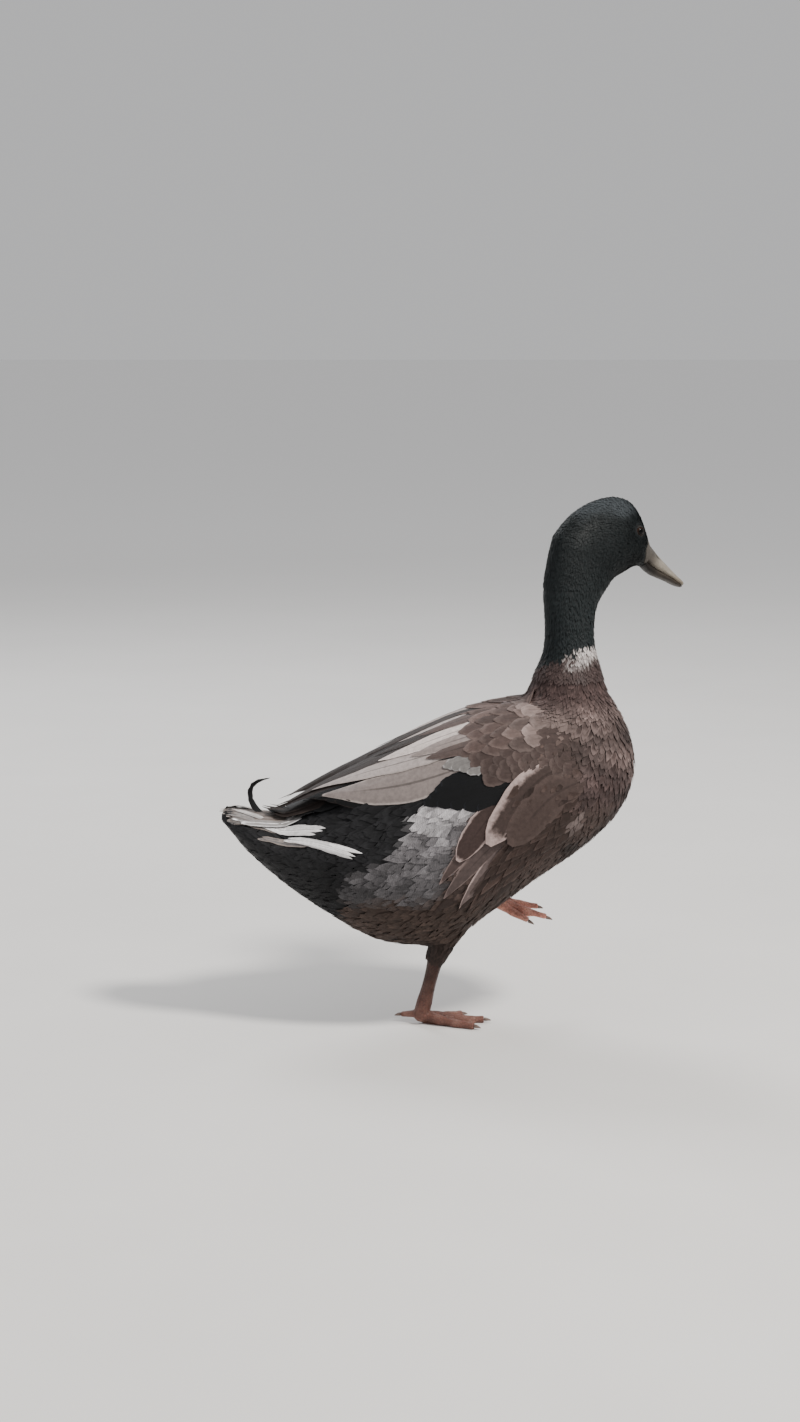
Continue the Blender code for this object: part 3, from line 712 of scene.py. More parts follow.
def feather_piece(name, vane, points, roots_cm, finish, **layers):
    """One piece of coat from the points of its feathers. Each layer holds a value for every feather, or
    one for them all."""
    count, size = points.shape[:2]
    corners = np.array([corner for face in vane.faces for corner in face])
    starts, feathers = np.arange(0, len(corners), 4), np.arange(count)[:, None]
    data = bpy.data.meshes.new(name)
    data.vertices.add(count * size)
    data.vertices.foreach_set("co", points.astype(np.float32).ravel())
    data.loops.add(count * len(corners))
    data.loops.foreach_set("vertex_index", (corners + size * feathers).astype(np.int32).ravel())
    data.polygons.add(count * len(starts))
    data.polygons.foreach_set("loop_start", (starts + len(corners) * feathers).astype(np.int32).ravel())
    data.polygons.foreach_set("use_smooth", np.ones(count * len(starts), dtype=bool))
    data.update(calc_edges=True)
    # One unwrap shows each vane whole, the other keeps a small patch for it where its root lies.
    whole = np.tile(vane.uv[corners], (count, 1))
    patches = unwrap_place(roots_cm)[:, None] + (vane.uv[corners] - 0.5) * BAKE_PATCH
    for unwrap, corner_places in (("vane", whole), ("OFBake", patches)):
        data.uv_layers.new(name=unwrap).data.foreach_set("uv", corner_places.astype(np.float32).ravel())
    layers["seed"] = rng.uniform(0, 1, count)
    for layer, values in layers.items():
        each = np.full(count, values) if np.ndim(values) == 0 else np.asarray(values)
        lay_on(data, layer, np.repeat(each, size, axis=0))
    piece = stood(name, data)
    data.materials.append(FINISHES[finish])
    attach(piece, "root")
    return piece


def scatter(points, spacing):
    """Picks places at least their spacing apart, in the order given."""
    widest = float(spacing.max())
    cells, kept = {}, []
    for i, (point, apart) in enumerate(zip(points.tolist(), spacing.tolist())):
        px, py, pz = point
        cell = tuple(int(number // widest) for number in point)
        nearby = itertools.product(*((number - 1, number, number + 1) for number in cell))
        if not any(
            (px - qx) ** 2 + (py - qy) ** 2 + (pz - qz) ** 2 < apart * apart
            for near in nearby for qx, qy, qz in cells.get(near, ())
        ):
            cells.setdefault(cell, []).append(point)
            kept.append(i)
    return np.array(kept, dtype=int)


# The lower edge of the folded wing: x, and its angle from straight up at each.
WING_EDGE_X = [-17.3, -16, -14.5, -12, -9, -5, -1, 3, 6, 8.4, 9.8]
WING_EDGE_ANGLE = [19, 23, 31, 42, 52, 60, 66, 69, 68, 60, 43]


def under_wing(cm):
    """Whether the large feathers of wing and flank cover the body at each place."""
    x, _, z = cm.T
    angle = angle_of(cm)
    below_edge = angle < np.interp(x, WING_EDGE_X, WING_EDGE_ANGLE) - 3
    wing = below_edge & (x < 5.2 + 0.04 * angle) & (x > -16) & (z < 32)
    plumes = (angle > 64) & (angle < 112) & (x > 3.0) & (x < 7.8)
    return wing | plumes


# The tracts: between which heights and which x each lies, then spacing, length and half width of its
# feathers, all in centimetres, their vane and their finish.
FAR = math.inf
TRACTS = {
    "coat_head": ((44.2, FAR), (-FAR, FAR), 0.105, 0.52, 0.115, small_vane, "green_black_plumage"),
    "coat_cheeks": ((40.5, 44.2), (-FAR, FAR), 0.105, 0.55, 0.115, small_vane, "green_black_plumage"),
    "coat_neck": ((32.6, 40.5), (-FAR, FAR), 0.145, 0.85, 0.155, small_vane, "green_black_plumage"),
    "coat_neck_foot": ((29.5, 32.6), (-FAR, FAR), 0.24, 1.45, 0.27, contour_vane, "brown_plumage"),
    "coat_breast": ((-FAR, 29.5), (6.5, FAR), 0.36, 2.0, 0.40, contour_vane, "brown_plumage"),
    "coat_side": ((-FAR, 29.5), (-10.4, 6.5), 0.41, 2.8, 0.47, contour_vane, "brown_plumage"),
    "coat_rump": ((-FAR, 29.5), (-FAR, -10.4), 0.42, 2.7, 0.47, contour_vane, "black_plumage"),
}
TRIES, RAGGED_ABOVE = 5, 32  # tries for each feather's worth of skin, and where the feathers are raggeder
# Bare of small feathers: a ring round each eye, and the end of the tail.
EYE_RING, TAIL_END_X, TAIL_TOP_Z = 0.60, -20.6, 25
# Evenly spread places over the whole form, drawn by the size of its faces.
quads = np.array([[v.co for v in face.verts] for face in form.faces if len(face.verts) == 4])
areas = np.linalg.norm(np.cross(quads[:, 2] - quads[:, 0], quads[:, 3] - quads[:, 1]), axis=1) / 2
face_x, _, face_z = measured(quads.mean(axis=1)).T
for tract, ((lowest, highest), (back, front), spacing_cm, length_cm, half_cm, vane, finish) in TRACTS.items():
    chosen = np.flatnonzero((face_z > lowest) & (face_z <= highest) & (face_x > back) & (face_x <= front))
    tract_area = areas[chosen].sum()
    tries = int(TRIES * tract_area / (spacing_cm * CM) ** 2)
    corners = quads[rng.choice(chosen, size=tries, p=areas[chosen] / tract_area)]
    s, t = rng.uniform(0, 1, (2, tries, 1))
    roots = mixed(mixed(corners[:, 0], corners[:, 1], s), mixed(corners[:, 3], corners[:, 2], s), t)
    cm = measured(roots)
    face = ease(-near_eye(cm), -2.2, -0.7)
    bill = ease(ahead_measured(cm)[:, 0], 15.5, 17.5) * ease(cm[:, 2], 39, 40.5)
    scale = (1 - 0.35 * np.maximum(face, bill)) * (1 - 0.45 * on_thigh(cm)[0])
    free = ~under_wing(cm) & (near_eye(cm) > EYE_RING) & (bare_face(cm) < 0.35)
    free &= ~((cm[:, 0] < TAIL_END_X) & (cm[:, 2] < TAIL_TOP_Z))
    roots, cm, scale = roots[free], cm[free], scale[free]
    kept = scatter(roots, scale * spacing_cm * CM)
    roots, cm, scale, count = roots[kept], cm[kept], scale[kept], len(kept)
    lengths = length_cm * CM * scale * rng.uniform(0.85, 1.15, count)
    halves = half_cm * CM * scale * rng.uniform(0.88, 1.12, count)
    places, normals, headings = march(roots, lengths, rng.normal(0, 0.14, count), vane)
    depth = coat_depth(cm)
    lift = rng.uniform(-0.0002, 0.0003, count) * (0.4 + scale)
    heights = np.array([-depth * (0.95 - 0.95 * v**0.5) + lift * v for v in vane.v])
    shown = measured(places[int(len(vane.v) * 0.75)])
    ground, fringe, barred = markings(shown, rng.normal(0, 0.5, count))
    if finish == "brown_plumage":
        ground = ground * np.exp(rng.normal(0, 0.15, count))[:, None]
        fringe = fringe * np.exp(rng.normal(0, 0.15, count))[:, None]
    ragged = 0.14 if cm[:, 2].min() > RAGGED_ABOVE else 0.09
    points = vane_points(vane, places, normals, headings, halves, heights, ragged=ragged)
    feather_piece(
        tract, vane, points, cm, finish, ground=ground, fringe=fringe, barred=barred, rim=0.3, tip=0.24
    )

# A cuff of small feathers round each hock, from the end of the thigh down over the top of the shank.
# Centimetres down the leg from the hock say where each cuff starts and where the thigh's skin ends.
CUFF_COUNT, CUFF_ROWS, CUFF_HALF, CUFF_LENGTHS = 60, 6, 0.0030, {"right": 1.8, "left": 1.4}
CUFF_TOPS, ON_THIGH, GOLDEN = {"right": -2.1, "left": -3.4}, -1.3, 0.618
SEARCH, CLEARANCE, WIDEST_STEP = 1.9, 0.07, 0.15
skin_tree = BVHTree.FromBMesh(skin_mesh)
cuff_vane = Vane(CUFF_ROWS, 5, CONTOUR)
cuff_points, cuff_roots = [], []
for leg, (hip, hock) in THIGHS.items():
    down_leg = unit(np.array([hock]) - np.array([hip]))[0]
    across = unit(np.cross(down_leg, (0.0, 1.0, 0.0))[None])[0]
    for k in range(CUFF_COUNT):
        turn, row = 2 * math.pi * (k * GOLDEN), k / CUFF_COUNT
        out = across * math.cos(turn) + np.cross(down_leg, across) * math.sin(turn)
        start = CUFF_TOPS[leg] * (1 - row) - row + rng.normal(0, 0.1)
        reached = start + CUFF_LENGTHS[leg] * cuff_vane.v
        width = np.interp(reached, (-2.0, -0.7, 0.3, 1.0), (1.25, 1.02, 0.94, 0.84)) + 0.05 * (1 - row)
        for at in np.flatnonzero(reached < ON_THIGH):  # there it lies on the thigh's own skin
            axis = place(*(np.array(hock) + reached[at] * down_leg))
            hit = skin_tree.ray_cast(axis + Vector(out) * SEARCH * CM, -Vector(out), SEARCH * CM)[0]
            found = (hit - axis).length / CM + CLEARANCE if hit else width[at]
            # What stands further out than a step is the folded shank.
            width[at] = found if found < width[at] + WIDEST_STEP else width[at] - WIDEST_STEP
        line = np.array(hock) + reached[:, None] * down_leg + width[:, None] * out
        centres = np.array([place(*point) for point in line])[:, None]
        cuff_points.append(vane_points(
            cuff_vane, centres, np.tile(out, (CUFF_ROWS, 1, 1)),
            unit(np.gradient(centres[:, 0], axis=0))[:, None],
            np.array([CUFF_HALF]), np.zeros((CUFF_ROWS, 1)), ragged=0.1,
        )[0])
        cuff_roots.append(line[0])
cuff_tones = np.exp(rng.normal(0, 0.15, (len(cuff_roots), 1)))
feather_piece(
    "hock_cuffs", cuff_vane, np.array(cuff_points), np.array(cuff_roots), "brown_plumage",
    ground=np.array(THIGH_BROWN) * cuff_tones, fringe=np.array(THIGH_EDGE) * cuff_tones, barred=0.0,
    rim=0.3, tip=0.2,
)

# ------------------------------------------------------------------------------------------ wings
# The folded wings: dark primaries crossed over the rump, a blue-black patch of secondaries, long grey
# tertials, white-tipped coverts, small brown coverts, and scapulars with one pale streak over them all.
# The outline of each kind of vane: shares of its length, and of its half width there.
ROUNDED = [(0, 0.45), (0.3, 0.85), (0.65, 1.0), (0.85, 0.85), (0.95, 0.55), (1, 0.18)]
POINTED = [(0, 0.5), (0.3, 0.95), (0.55, 1.0), (0.8, 0.62), (0.93, 0.3), (1, 0.05)]
BLUNT = [(0, 0.6), (0.3, 0.9), (0.7, 1.0), (0.9, 0.85), (0.97, 0.6), (1, 0.3)]
TERTIAL_SHAPE = [(0, 0.5), (0.2, 0.86), (0.42, 1.0), (0.66, 0.76), (0.86, 0.38), (0.96, 0.16), (1, 0.04)]
STREAK_SHAPE = [
    (0, 0.08), (0.05, 0.42), (0.13, 0.74), (0.27, 0.96), (0.5, 1.0), (0.75, 0.8), (0.92, 0.45), (1, 0.08),
]
SCAPULAR_SHAPE = [(0, 0.4), (0.3, 0.85), (0.6, 1.0), (0.8, 0.8), (0.93, 0.42), (1, 0.08)]
rounded_vane, pointed_vane, blunt_vane, tertial_vane, streak_vane, scapular_vane = (
    Vane(14, 9, widths) for widths in (ROUNDED, POINTED, BLUNT, TERTIAL_SHAPE, STREAK_SHAPE, SCAPULAR_SHAPE)
)
COVERED_TO_Z = 31.8
RAY_START, SHORT_WAY = 0.3, 0.05  # metres out from the line inside the body


def tree_over(*nodes):
    """A search tree of the body's outside below the neck, with some solids laid over it."""
    points = [v.co.copy() for v in form.verts]
    top = place(0, 0, COVERED_TO_Z).z
    faces = [[v.index for v in face.verts] for face in form.faces if face.verts[0].co.z < top]
    for node in nodes:
        base, solid = len(points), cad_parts[node].data
        points += [v.co.copy() for v in solid.vertices]
        faces += [[base + i for i in face.vertices] for face in solid.polygons]
    return BVHTree.FromPolygons(points, faces)


outside, under_wings = tree_over("wing_left", "wing_right", "tail"), tree_over("tail")


def on_outside(x, angle, side, over=outside):
    """The place on the outside of the bird at an x and an angle from straight up, and the way out there."""
    centre = place(x, 0, MIDLINE_HEIGHT + MIDLINE_RISE * x)
    away = Vector((0, side * math.sin(math.radians(angle)), math.cos(math.radians(angle))))
    hit = over.ray_cast(centre + away * RAY_START, -away, RAY_START)[0]
    if hit is None:
        hit = over.find_nearest(centre + away * SHORT_WAY)[0]
    return hit, away


def draped(vane, side, root, tip, half, rise, bow=0.0, ragged=0.03, camber=0.1, settle=0.7, over=outside):
    """The points of one large feather laid over the outside, from its root to its tip.

    Root and tip are x and angle, half the half width in centimetres, rise the heights of root and tip
    over the outside in millimetres, and bow how far its middle bends down in degrees."""
    centres, ways_out = [], []
    for v in vane.v:
        x = root[0] + (tip[0] - root[0]) * v
        angle = root[1] + (tip[1] - root[1]) * v + bow * math.sin(math.pi * v)
        hit, away = on_outside(x, angle, side, over)
        centres.append(hit)
        ways_out.append(away)
    top, under = [], []
    for r, v in enumerate(vane.v):
        heading = (centres[min(r + 1, len(centres) - 1)] - centres[max(r - 1, 0)]).normalized()
        sideways = heading.cross(ways_out[r]).normalized()
        ends = 0.0 if r in (0, len(vane.v) - 1) else 1.0
        row = []
        for u in vane.u:
            shake = rng.normal(0, ragged)
            reach = half * CM * vane.width[r] * u * (1 + shake * abs(u))
            target = measured([centres[r] + sideways * reach])
            target_x, target_y, _ = target[0]
            target_side = side if target_y * side >= 0 else -side
            hit, away = on_outside(target_x, angle_of(target)[0], target_side, over)
            rounding = camber * half * CM * u * u * ends * 0.5
            height = (rise[0] + (rise[1] - rise[0]) * v**settle) / 1000 - rounding
            row.append(hit + away * height + heading * (shake * half * CM * 0.5 if v > 0.7 else 0.0))
        top += row
        middle = row[len(row) // 2] - ways_out[r] * VANE_THICKNESS * ends
        under += [row[0], middle, row[-1]]
    return top + under


TIP_FRINGE = 1.4  # a fringe is this much wider round the tip than at the sides


class Plumes:
    """A growing list of large feathers of one piece, all on one vane."""

    def __init__(self, vane):
        self.vane, self.points, self.roots = vane, [], []
        self.layers = {"ground": [], "fringe": [], "rim": [], "tip": []}

    def add(self, side, root, tip, half, rise, ground, fringe, rim=0.12, vary=0.06, **shape):
        """One more feather, placed as draped takes it, with its two colours and its fringe's width."""
        tone = math.exp(rng.normal(0, vary))
        points = draped(self.vane, side, root, tip, half, rise, **shape)
        length = (points[0] - points[len(self.vane.v) * len(self.vane.u) - 1]).length / CM
        self.points.append(points)
        self.roots.append(measured([on_outside(*root, side)[0]])[0])
        feather = (np.array(ground) * tone, np.array(fringe) * tone, rim, TIP_FRINGE * rim * half / length)
        for layer, value in zip(self.layers.values(), feather):
            layer.append(value)

    def piece(self, name, finish):
        """The piece of coat that they make up."""
        points, roots = np.array(self.points), np.array(self.roots)
        return feather_piece(name, self.vane, points, roots, finish, **self.layers, barred=0.0)


PRIMARY, PRIMARY_EDGE = (0.020, 0.0145, 0.013), (0.042, 0.031, 0.027)
SPECULUM, SPECULUM_EDGE = (0.0020, 0.0022, 0.0029), (0.0064, 0.0070, 0.0100)
TERTIAL, TERTIAL_EDGE = (0.205, 0.172, 0.161), (0.33, 0.285, 0.265)
TERTIAL_PALE = (0.39, 0.338, 0.322)
TERTIAL_DARK, TERTIAL_DARK_EDGE = (0.026, 0.019, 0.017), (0.066, 0.049, 0.043)
BAR_WHITE, BAR_EDGE = (0.17, 0.16, 0.154), (0.29, 0.278, 0.274)
COVERT, COVERT_EDGE = (0.056, 0.038, 0.034), (0.082, 0.059, 0.053)
SCAPULAR, SCAPULAR_EDGE = (0.078, 0.053, 0.047), (0.125, 0.090, 0.081)
SHOULDER_PALE_AND_LIT, SHOULDER_PALE_AND_LIT_EDGE = (0.150, 0.111, 0.101), (0.205, 0.157, 0.144)
PALE_STREAK, STREAK_EDGE = (0.54, 0.47, 0.44), (0.66, 0.58, 0.55)
PRIMARIES, SECONDARIES, WHITE_TIPS, COVERT_ROWS = 7, 8, 4, 9
for side_name, side in (("left", 1), ("right", -1)):
    flight, long_feathers, coverts = Plumes(pointed_vane), Plumes(pointed_vane), Plumes(rounded_vane)
    longest = -17.2 if side < 0 else -15.6  # the left wing lies a little further forward
    for i in range(PRIMARIES):
        root, tip, rise = (-3.0, 7 + 6.5 * i), (longest + 0.62 * i, 15.5 + 1.5 * i), (-2.4, -0.5 - 0.2 * i)
        flight.add(side, root, tip, 0.72, rise, PRIMARY, PRIMARY_EDGE, bow=0.5)
    for tip in ((-13.6, 27), (-12.7, 32), (-11.8, 37), (-10.9, 41)):
        flight.add(side, (-3.0, tip[1] + 14), tip, 0.8, (-2.6, -1.0), RUMP_BLACK, PRIMARY, bow=3)
    flight.piece(f"primaries_{side_name}", "brown_plumage")
    speculum = Plumes(blunt_vane)
    for i in range(SECONDARIES):
        root, tip = (6.6, 52 + 2.4 * i), (np.interp(i, (0, 3, 7), (-1.5, -3.0, 1.7)), 53 + 2.6 * i)
        speculum.add(side, root, tip, 0.72, (-1.6, -0.7 + 0.05 * i), SPECULUM, SPECULUM_EDGE, vary=0.1)
    speculum.piece(f"speculum_{side_name}", "black_plumage")
    # Tertials, the lowest first: a broad grey one, a pale pointed one, then the dark ones next to the spine.
    tertials = Plumes(tertial_vane)
    tertials.add(side, (1.6, 46), (-12.0, 33), 1.72, (-1.5, 0.1), TERTIAL, TERTIAL_EDGE, bow=7, rim=0.1)
    tertials.add(side, (1.2, 35), (-13.0, 20.5), 1.02, (-1.1, 0.6), TERTIAL_PALE, TERTIAL_EDGE, bow=2.8)
    tertials.piece(f"tertials_{side_name}", "grey_wing_plumage")
    long_feathers.add(side, (1.0, 20), (-16.2, 15.0), 0.95, (-1.2, 0.8), TERTIAL_DARK, TERTIAL_DARK_EDGE)
    long_feathers.add(side, (0.5, 10), (-14.6, 11.0), 0.9, (-1.2, 0.8), PRIMARY, PRIMARY_EDGE)
    long_feathers.add(side, (0.5, 4), (-12.6, 6.5), 0.8, (-1.2, 0.6), TERTIAL_DARK, SCAPULAR)
    # Scapulars over the wing's upper part, the pale streak among them.
    for root, tip, half, ground, fringe in (
        ((2.8, 3.5), (-8.2, 6.0), 0.7, TERTIAL_DARK, TERTIAL_DARK_EDGE),
        ((3.4, 14.0), (-7.4, 14.5), 0.78, TERTIAL_DARK, TERTIAL_DARK_EDGE),
        ((2.2, 7.5), (-5.2, 10.0), 0.55, (0.40, 0.345, 0.325), STREAK_EDGE),
        ((4.4, 15.0), (-3.4, 15.5), 0.7, SCAPULAR, SCAPULAR_EDGE),
        # This one is painted dark: painted shade between the pale streak and the white bar.
        ((5.0, 35.0), (-2.8, 35.5), 0.85, (0.080, 0.056, 0.050), SCAPULAR_EDGE),
        ((5.2, 29.0), (-4.2, 30.0), 0.85, (0.26, 0.215, 0.20), (0.40, 0.34, 0.32)),
        ((5.2, 24.0), (-7.0, 22.8), 0.92, PALE_STREAK, STREAK_EDGE),
    ):
        long_feathers.add(side, root, tip, half, (-0.8, 0.9), ground, fringe, bow=1.0)
    long_feathers.piece(f"long_scapulars_{side_name}", "grey_wing_plumage")
    # Coverts: a few with white tips over the speculum, then brown rows up to the bend of the wing.
    for i in range(WHITE_TIPS):
        root, tip = (3.2 + 0.3 * i, 42.5 + 2.2 * i), (-1.3 + 0.7 * i, 44.0 + 2.2 * i)
        coverts.add(side, root, tip, 0.55, (-1.2, 0.4), BAR_WHITE, BAR_EDGE, vary=0.25, ragged=0.12)
    for row in range(COVERT_ROWS):
        tip_x = 1.2 + 0.82 * row
        lowest = min(np.interp(tip_x, WING_EDGE_X, WING_EDGE_ANGLE) - 1, 54.5 + 2.0 * row)
        for angle in np.arange(36 + 2.2 * (row % 2), lowest, 4.6):
            root = (tip_x + 3.4 + rng.normal(0, 0.12), angle + rng.normal(0, 0.8))
            tip = (tip_x - 0.10 * (45 - angle) + rng.normal(0, 0.25), angle + 1.5 + rng.normal(0, 0.8))
            coverts.add(side, root, tip, 0.78, (-1.6, 0.35), COVERT, COVERT_EDGE, rim=0.3, vary=0.1, bow=1.0)
    # Shorter scapulars in rows, larger and paler towards the shoulder, the paleness partly their own colour
    # and partly painted light.
    scapulars = Plumes(scapular_vane)
    for row, tip_x in enumerate((0.4, 1.8, 3.2, 4.6, 5.9)):
        for angle in np.arange(5 + 3.2 * (row % 2) + 9 * (row == 4), 42, 6.4):
            root = (min(tip_x + 5.0, 6.9 + 0.05 * angle), 0.92 * angle + 1 + rng.normal(0, 0.8))
            tip = (tip_x + rng.normal(0, 0.45), angle + 1.5 + rng.normal(0, 1.2))
            # Paler towards the shoulder, partly as painted light.
            pale = float(ease(tip_x + rng.normal(0, 0.7), 3.4, 6.4))
            ground = mixed(SCAPULAR, SHOULDER_PALE_AND_LIT, pale)
            fringe = mixed(SCAPULAR_EDGE, SHOULDER_PALE_AND_LIT_EDGE, pale)
            rise = (-1.8, 0.9 + 0.1 * row)
            scapulars.add(
                side, root, tip, 0.98, rise, ground, fringe, rim=0.34, vary=0.2, ragged=0.06, bow=1.0
            )
    scapulars.piece(f"scapulars_{side_name}", "brown_plumage")
    coverts.piece(f"coverts_{side_name}", "brown_plumage")
    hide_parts(f"wing_{side_name}")

# ------------------------------------------------------------------------------------------ flank plumes
# Long soft plumes of the flanks and shoulder, brown with pale fringes, that lie up over the front and
# lower edge of the folded wing.
PLUME, PLUME_EDGE, SOFT_EDGE = (0.034, 0.0215, 0.018), (0.40, 0.305, 0.285), (0.17, 0.126, 0.117)
FAINT_EDGE, PLUME_ROWS = tuple(1.45 * channel + 0.006 for channel in PLUME), 5
# The rearmost plumes, the lowest layer first: root, tip, half width, bow, ground, fringe and its width,
# and the heights of root and tip. The long soft ones end in a point, the last two are broad and round.
LONG_PLUMES = (
    ((4.6, 112), (-2.2, 134), 0.8, -2, (0.036, 0.024, 0.021), PLUME, 0.3, (-3.5, 0.8)),
    ((6.0, 74), (-1.6, 114), 0.9, -6, (0.058, 0.040, 0.037), SOFT_EDGE, 0.2, (-3.5, 1.0)),
    ((6.4, 82), (-1.2, 124), 1.0, -4, (0.080, 0.058, 0.054), SOFT_EDGE, 0.2, (-3.5, 1.3)),
    ((6.8, 92), (0.9, 128), 0.9, -2, (0.066, 0.047, 0.043), SOFT_EDGE, 0.25, (-3.5, 1.4)),
    ((6.6, 88), (0.2, 134), 1.0, -2, (0.125, 0.094, 0.089), PLUME_EDGE, 0.14, (-3.5, 1.7)),
)
ROUND_PLUMES = (
    ((6.0, 64), (0.0, 101), 1.2, -6.5, (0.050, 0.032, 0.029), PLUME_EDGE, 0.13, (-3.5, 1.9)),
    ((10.0, 54), (2.7, 94.5), 1.5, -9, (0.050, 0.034, 0.030), PLUME_EDGE, 0.36, (-1.3, 2.6)),
    ((11.2, 64), (4.6, 98), 1.7, -7, (0.050, 0.034, 0.030), (0.062, 0.043, 0.038), 0.3, (-0.8, 3.2)),
)
# Roots and tips of the plumes before them, from the top one down: x and angle of each.
PLUME_LINES = (
    ((9.4, 58), (4.4, 70)), ((9.6, 64), (3.9, 79)), ((9.5, 73), (3.7, 88)), ((9.0, 82), (3.4, 98)),
    ((8.2, 91), (2.9, 108)), ((7.2, 99), (2.2, 118)), ((6.2, 106), (1.2, 128)), ((5.0, 112), (0.2, 137)),
)
for side_name, side in (("left", 1), ("right", -1)):
    plumes = Plumes(pointed_vane)
    for kind, vane, rows in (("long", pointed_vane, LONG_PLUMES), ("round", rounded_vane, ROUND_PLUMES)):
        rear_plumes = Plumes(vane)
        for root, tip, half, bow, ground, fringe, rim, rise in rows:
            rear_plumes.add(side, root, tip, half, rise, ground, fringe, rim=rim, vary=0.03, bow=bow)
        rear_plumes.piece(f"{kind}_plumes_{side_name}", "brown_plumage")
    for row in range(PLUME_ROWS):  # the foremost rows end higher up
        for root, tip in PLUME_LINES if row < 3 else PLUME_LINES[:6]:
            for half_step in (0, 0.5):
                down = half_step * 9 + rng.normal(0, 1.2)
                ahead = 1.2 * row + half_step * 1.1 + rng.normal(0, 0.25)
                start = (min(root[0] + ahead * 0.9, 11.5), root[1] + down)
                end, rise = (tip[0] + ahead, tip[1] + down), (-4.2, 2.3 - 0.15 * row)
                plumes.add(
                    side, start, end, 0.8, rise, PLUME, FAINT_EDGE, rim=0.3, vary=0.2, bow=-2.5, settle=0.9
                )
    plumes.piece(f"flank_plumes_{side_name}", "brown_plumage")

# ------------------------------------------------------------------------------------------ tail
# The short fanned tail: dark middle feathers with pale edges, white outer ones that show as two streaks
# against the black coverts, and one black feather curled up over the rump.
TAIL_GREY, TAIL_GREY_EDGE = (0.135, 0.110, 0.098), (0.27, 0.232, 0.212)
TAIL_WHITE, TAIL_WHITE_EDGE = (0.88, 0.865, 0.865), (0.66, 0.64, 0.64)
# The height of the fan's upper side along the middle of the tail: x and z.
FAN_TOP = ((-11.0, 20.9), (-13.0, 20.4), (-15.6, 19.45), (-18.0, 19.75), (-20.0, 19.95), (-21.6, 19.9))
# The fan: how far each feather's tip reaches back and out, the lowest first, and its colours.
FAN = (
    (-19.3, 3.3, (0.30, 0.285, 0.28), TAIL_WHITE),
    (-20.1, 2.7, (0.24, 0.225, 0.22), TAIL_WHITE),
    (-20.7, 2.0, TAIL_GREY, TAIL_GREY_EDGE),
    (-21.1, 1.25, TAIL_GREY, TAIL_GREY_EDGE),
    (-21.45, 0.45, TAIL_GREY, TAIL_GREY_EDGE),
)
# The roots' x and how far out they lie, as a share of the tips; each feather's half width in metres; then
# how the fan droops to the sides and tilts there, how deep it lies, and the step from one to the next.
FAN_ROOT_X, FAN_ROOT_OUT, FAN_HALF = -12.0, 0.45, np.array([0.0078])
FAN_DROOP, FAN_TILT, FAN_DEPTH, FAN_STEP = 0.035, 0.07, 0.1, 0.03
fan_vane = Vane(10, 9, ROUNDED)
fan_points, fan_roots, fan_ground, fan_fringe = [], [], [], []
for side in (1, -1):
    for level, (tip_x, tip_y, ground, fringe) in enumerate(FAN):
        root_y = FAN_ROOT_OUT * tip_y
        x = np.array([FAN_ROOT_X + (tip_x - FAN_ROOT_X) * v for v in fan_vane.v])
        y = np.array([side * (root_y + (tip_y - root_y) * v) for v in fan_vane.v])
        middle = np.interp(-x, [-at for at, _ in FAN_TOP], [height for _, height in FAN_TOP])
        z = middle - FAN_DROOP * y**2 - FAN_DEPTH + FAN_STEP * level
        centres = np.array([place(*point) for point in zip(x, y, z)])[:, None]
        headings = unit(np.gradient(centres[:, 0], axis=0))[:, None]
        tilt = unit(np.stack([np.zeros(len(y)), FAN_TILT * y, np.ones(len(y))], axis=1))[:, None]
        flat = np.zeros((len(y), 1))
        fan_points.append(vane_points(fan_vane, centres, tilt, headings, FAN_HALF, flat, ragged=0.03)[0])
        fan_roots.append([FAN_ROOT_X, side * root_y, z[0]])
        fan_ground.append(ground)
        fan_fringe.append(fringe)
feather_piece(
    "tail_fan", fan_vane, np.array(fan_points), np.array(fan_roots), "grey_wing_plumage",
    ground=fan_ground, fringe=fan_fringe, barred=0.0, rim=0.15, tip=0.04,
)
# Black coverts over the rump, that fill the hollow under the wing tips: x of root and tip of each row,
# its height at the middle of the back, and how far down the side it goes.
RUMP_ROWS = ((-8.6, -13.0, 7.0, 44), (-9.8, -14.4, 8.6, 40), (-11.0, -15.7, 9.4, 24), (-12.2, -17.0, 8.4, 12))
rump_coverts = Plumes(rounded_vane)
for side in (1, -1):
    for row, (root_x, tip_x, height, lowest) in enumerate(RUMP_ROWS):
        for angle in np.arange(4 + 4 * (row % 2), lowest, 8):
            tip = (tip_x + rng.normal(0, 0.2), 0.8 * angle + rng.normal(0, 1.0))
            rise = (-2.0, height * (1 - angle / 90))
            rump_coverts.add(
                side, (root_x, angle), tip, 0.85, rise, RUMP_BLACK, RUMP_EDGE, rim=0.25, vary=0.15,
                over=under_wings,
            )
rump_coverts.piece("rump_coverts", "black_plumage")
# The tips of the longest flight feathers, crossed low over them: root, tip, and the heights of both.
CROSSED = (
    ((-10.5, 16), (-17.6, 4), (-2.0, 8.5)),
    ((-10.5, 24), (-17.0, 12), (-2.0, 9.5)),
    ((-10.5, 31), (-16.4, 20), (-2.0, 7.5)),
)
crossed_tips = Plumes(pointed_vane)
for side in (1, -1):
    for root, tip, rise in CROSSED:
        crossed_tips.add(side, root, tip, 0.75, rise, PRIMARY, PRIMARY_EDGE, settle=0.4, over=under_wings)
crossed_tips.piece("crossed_tips", "brown_plumage")
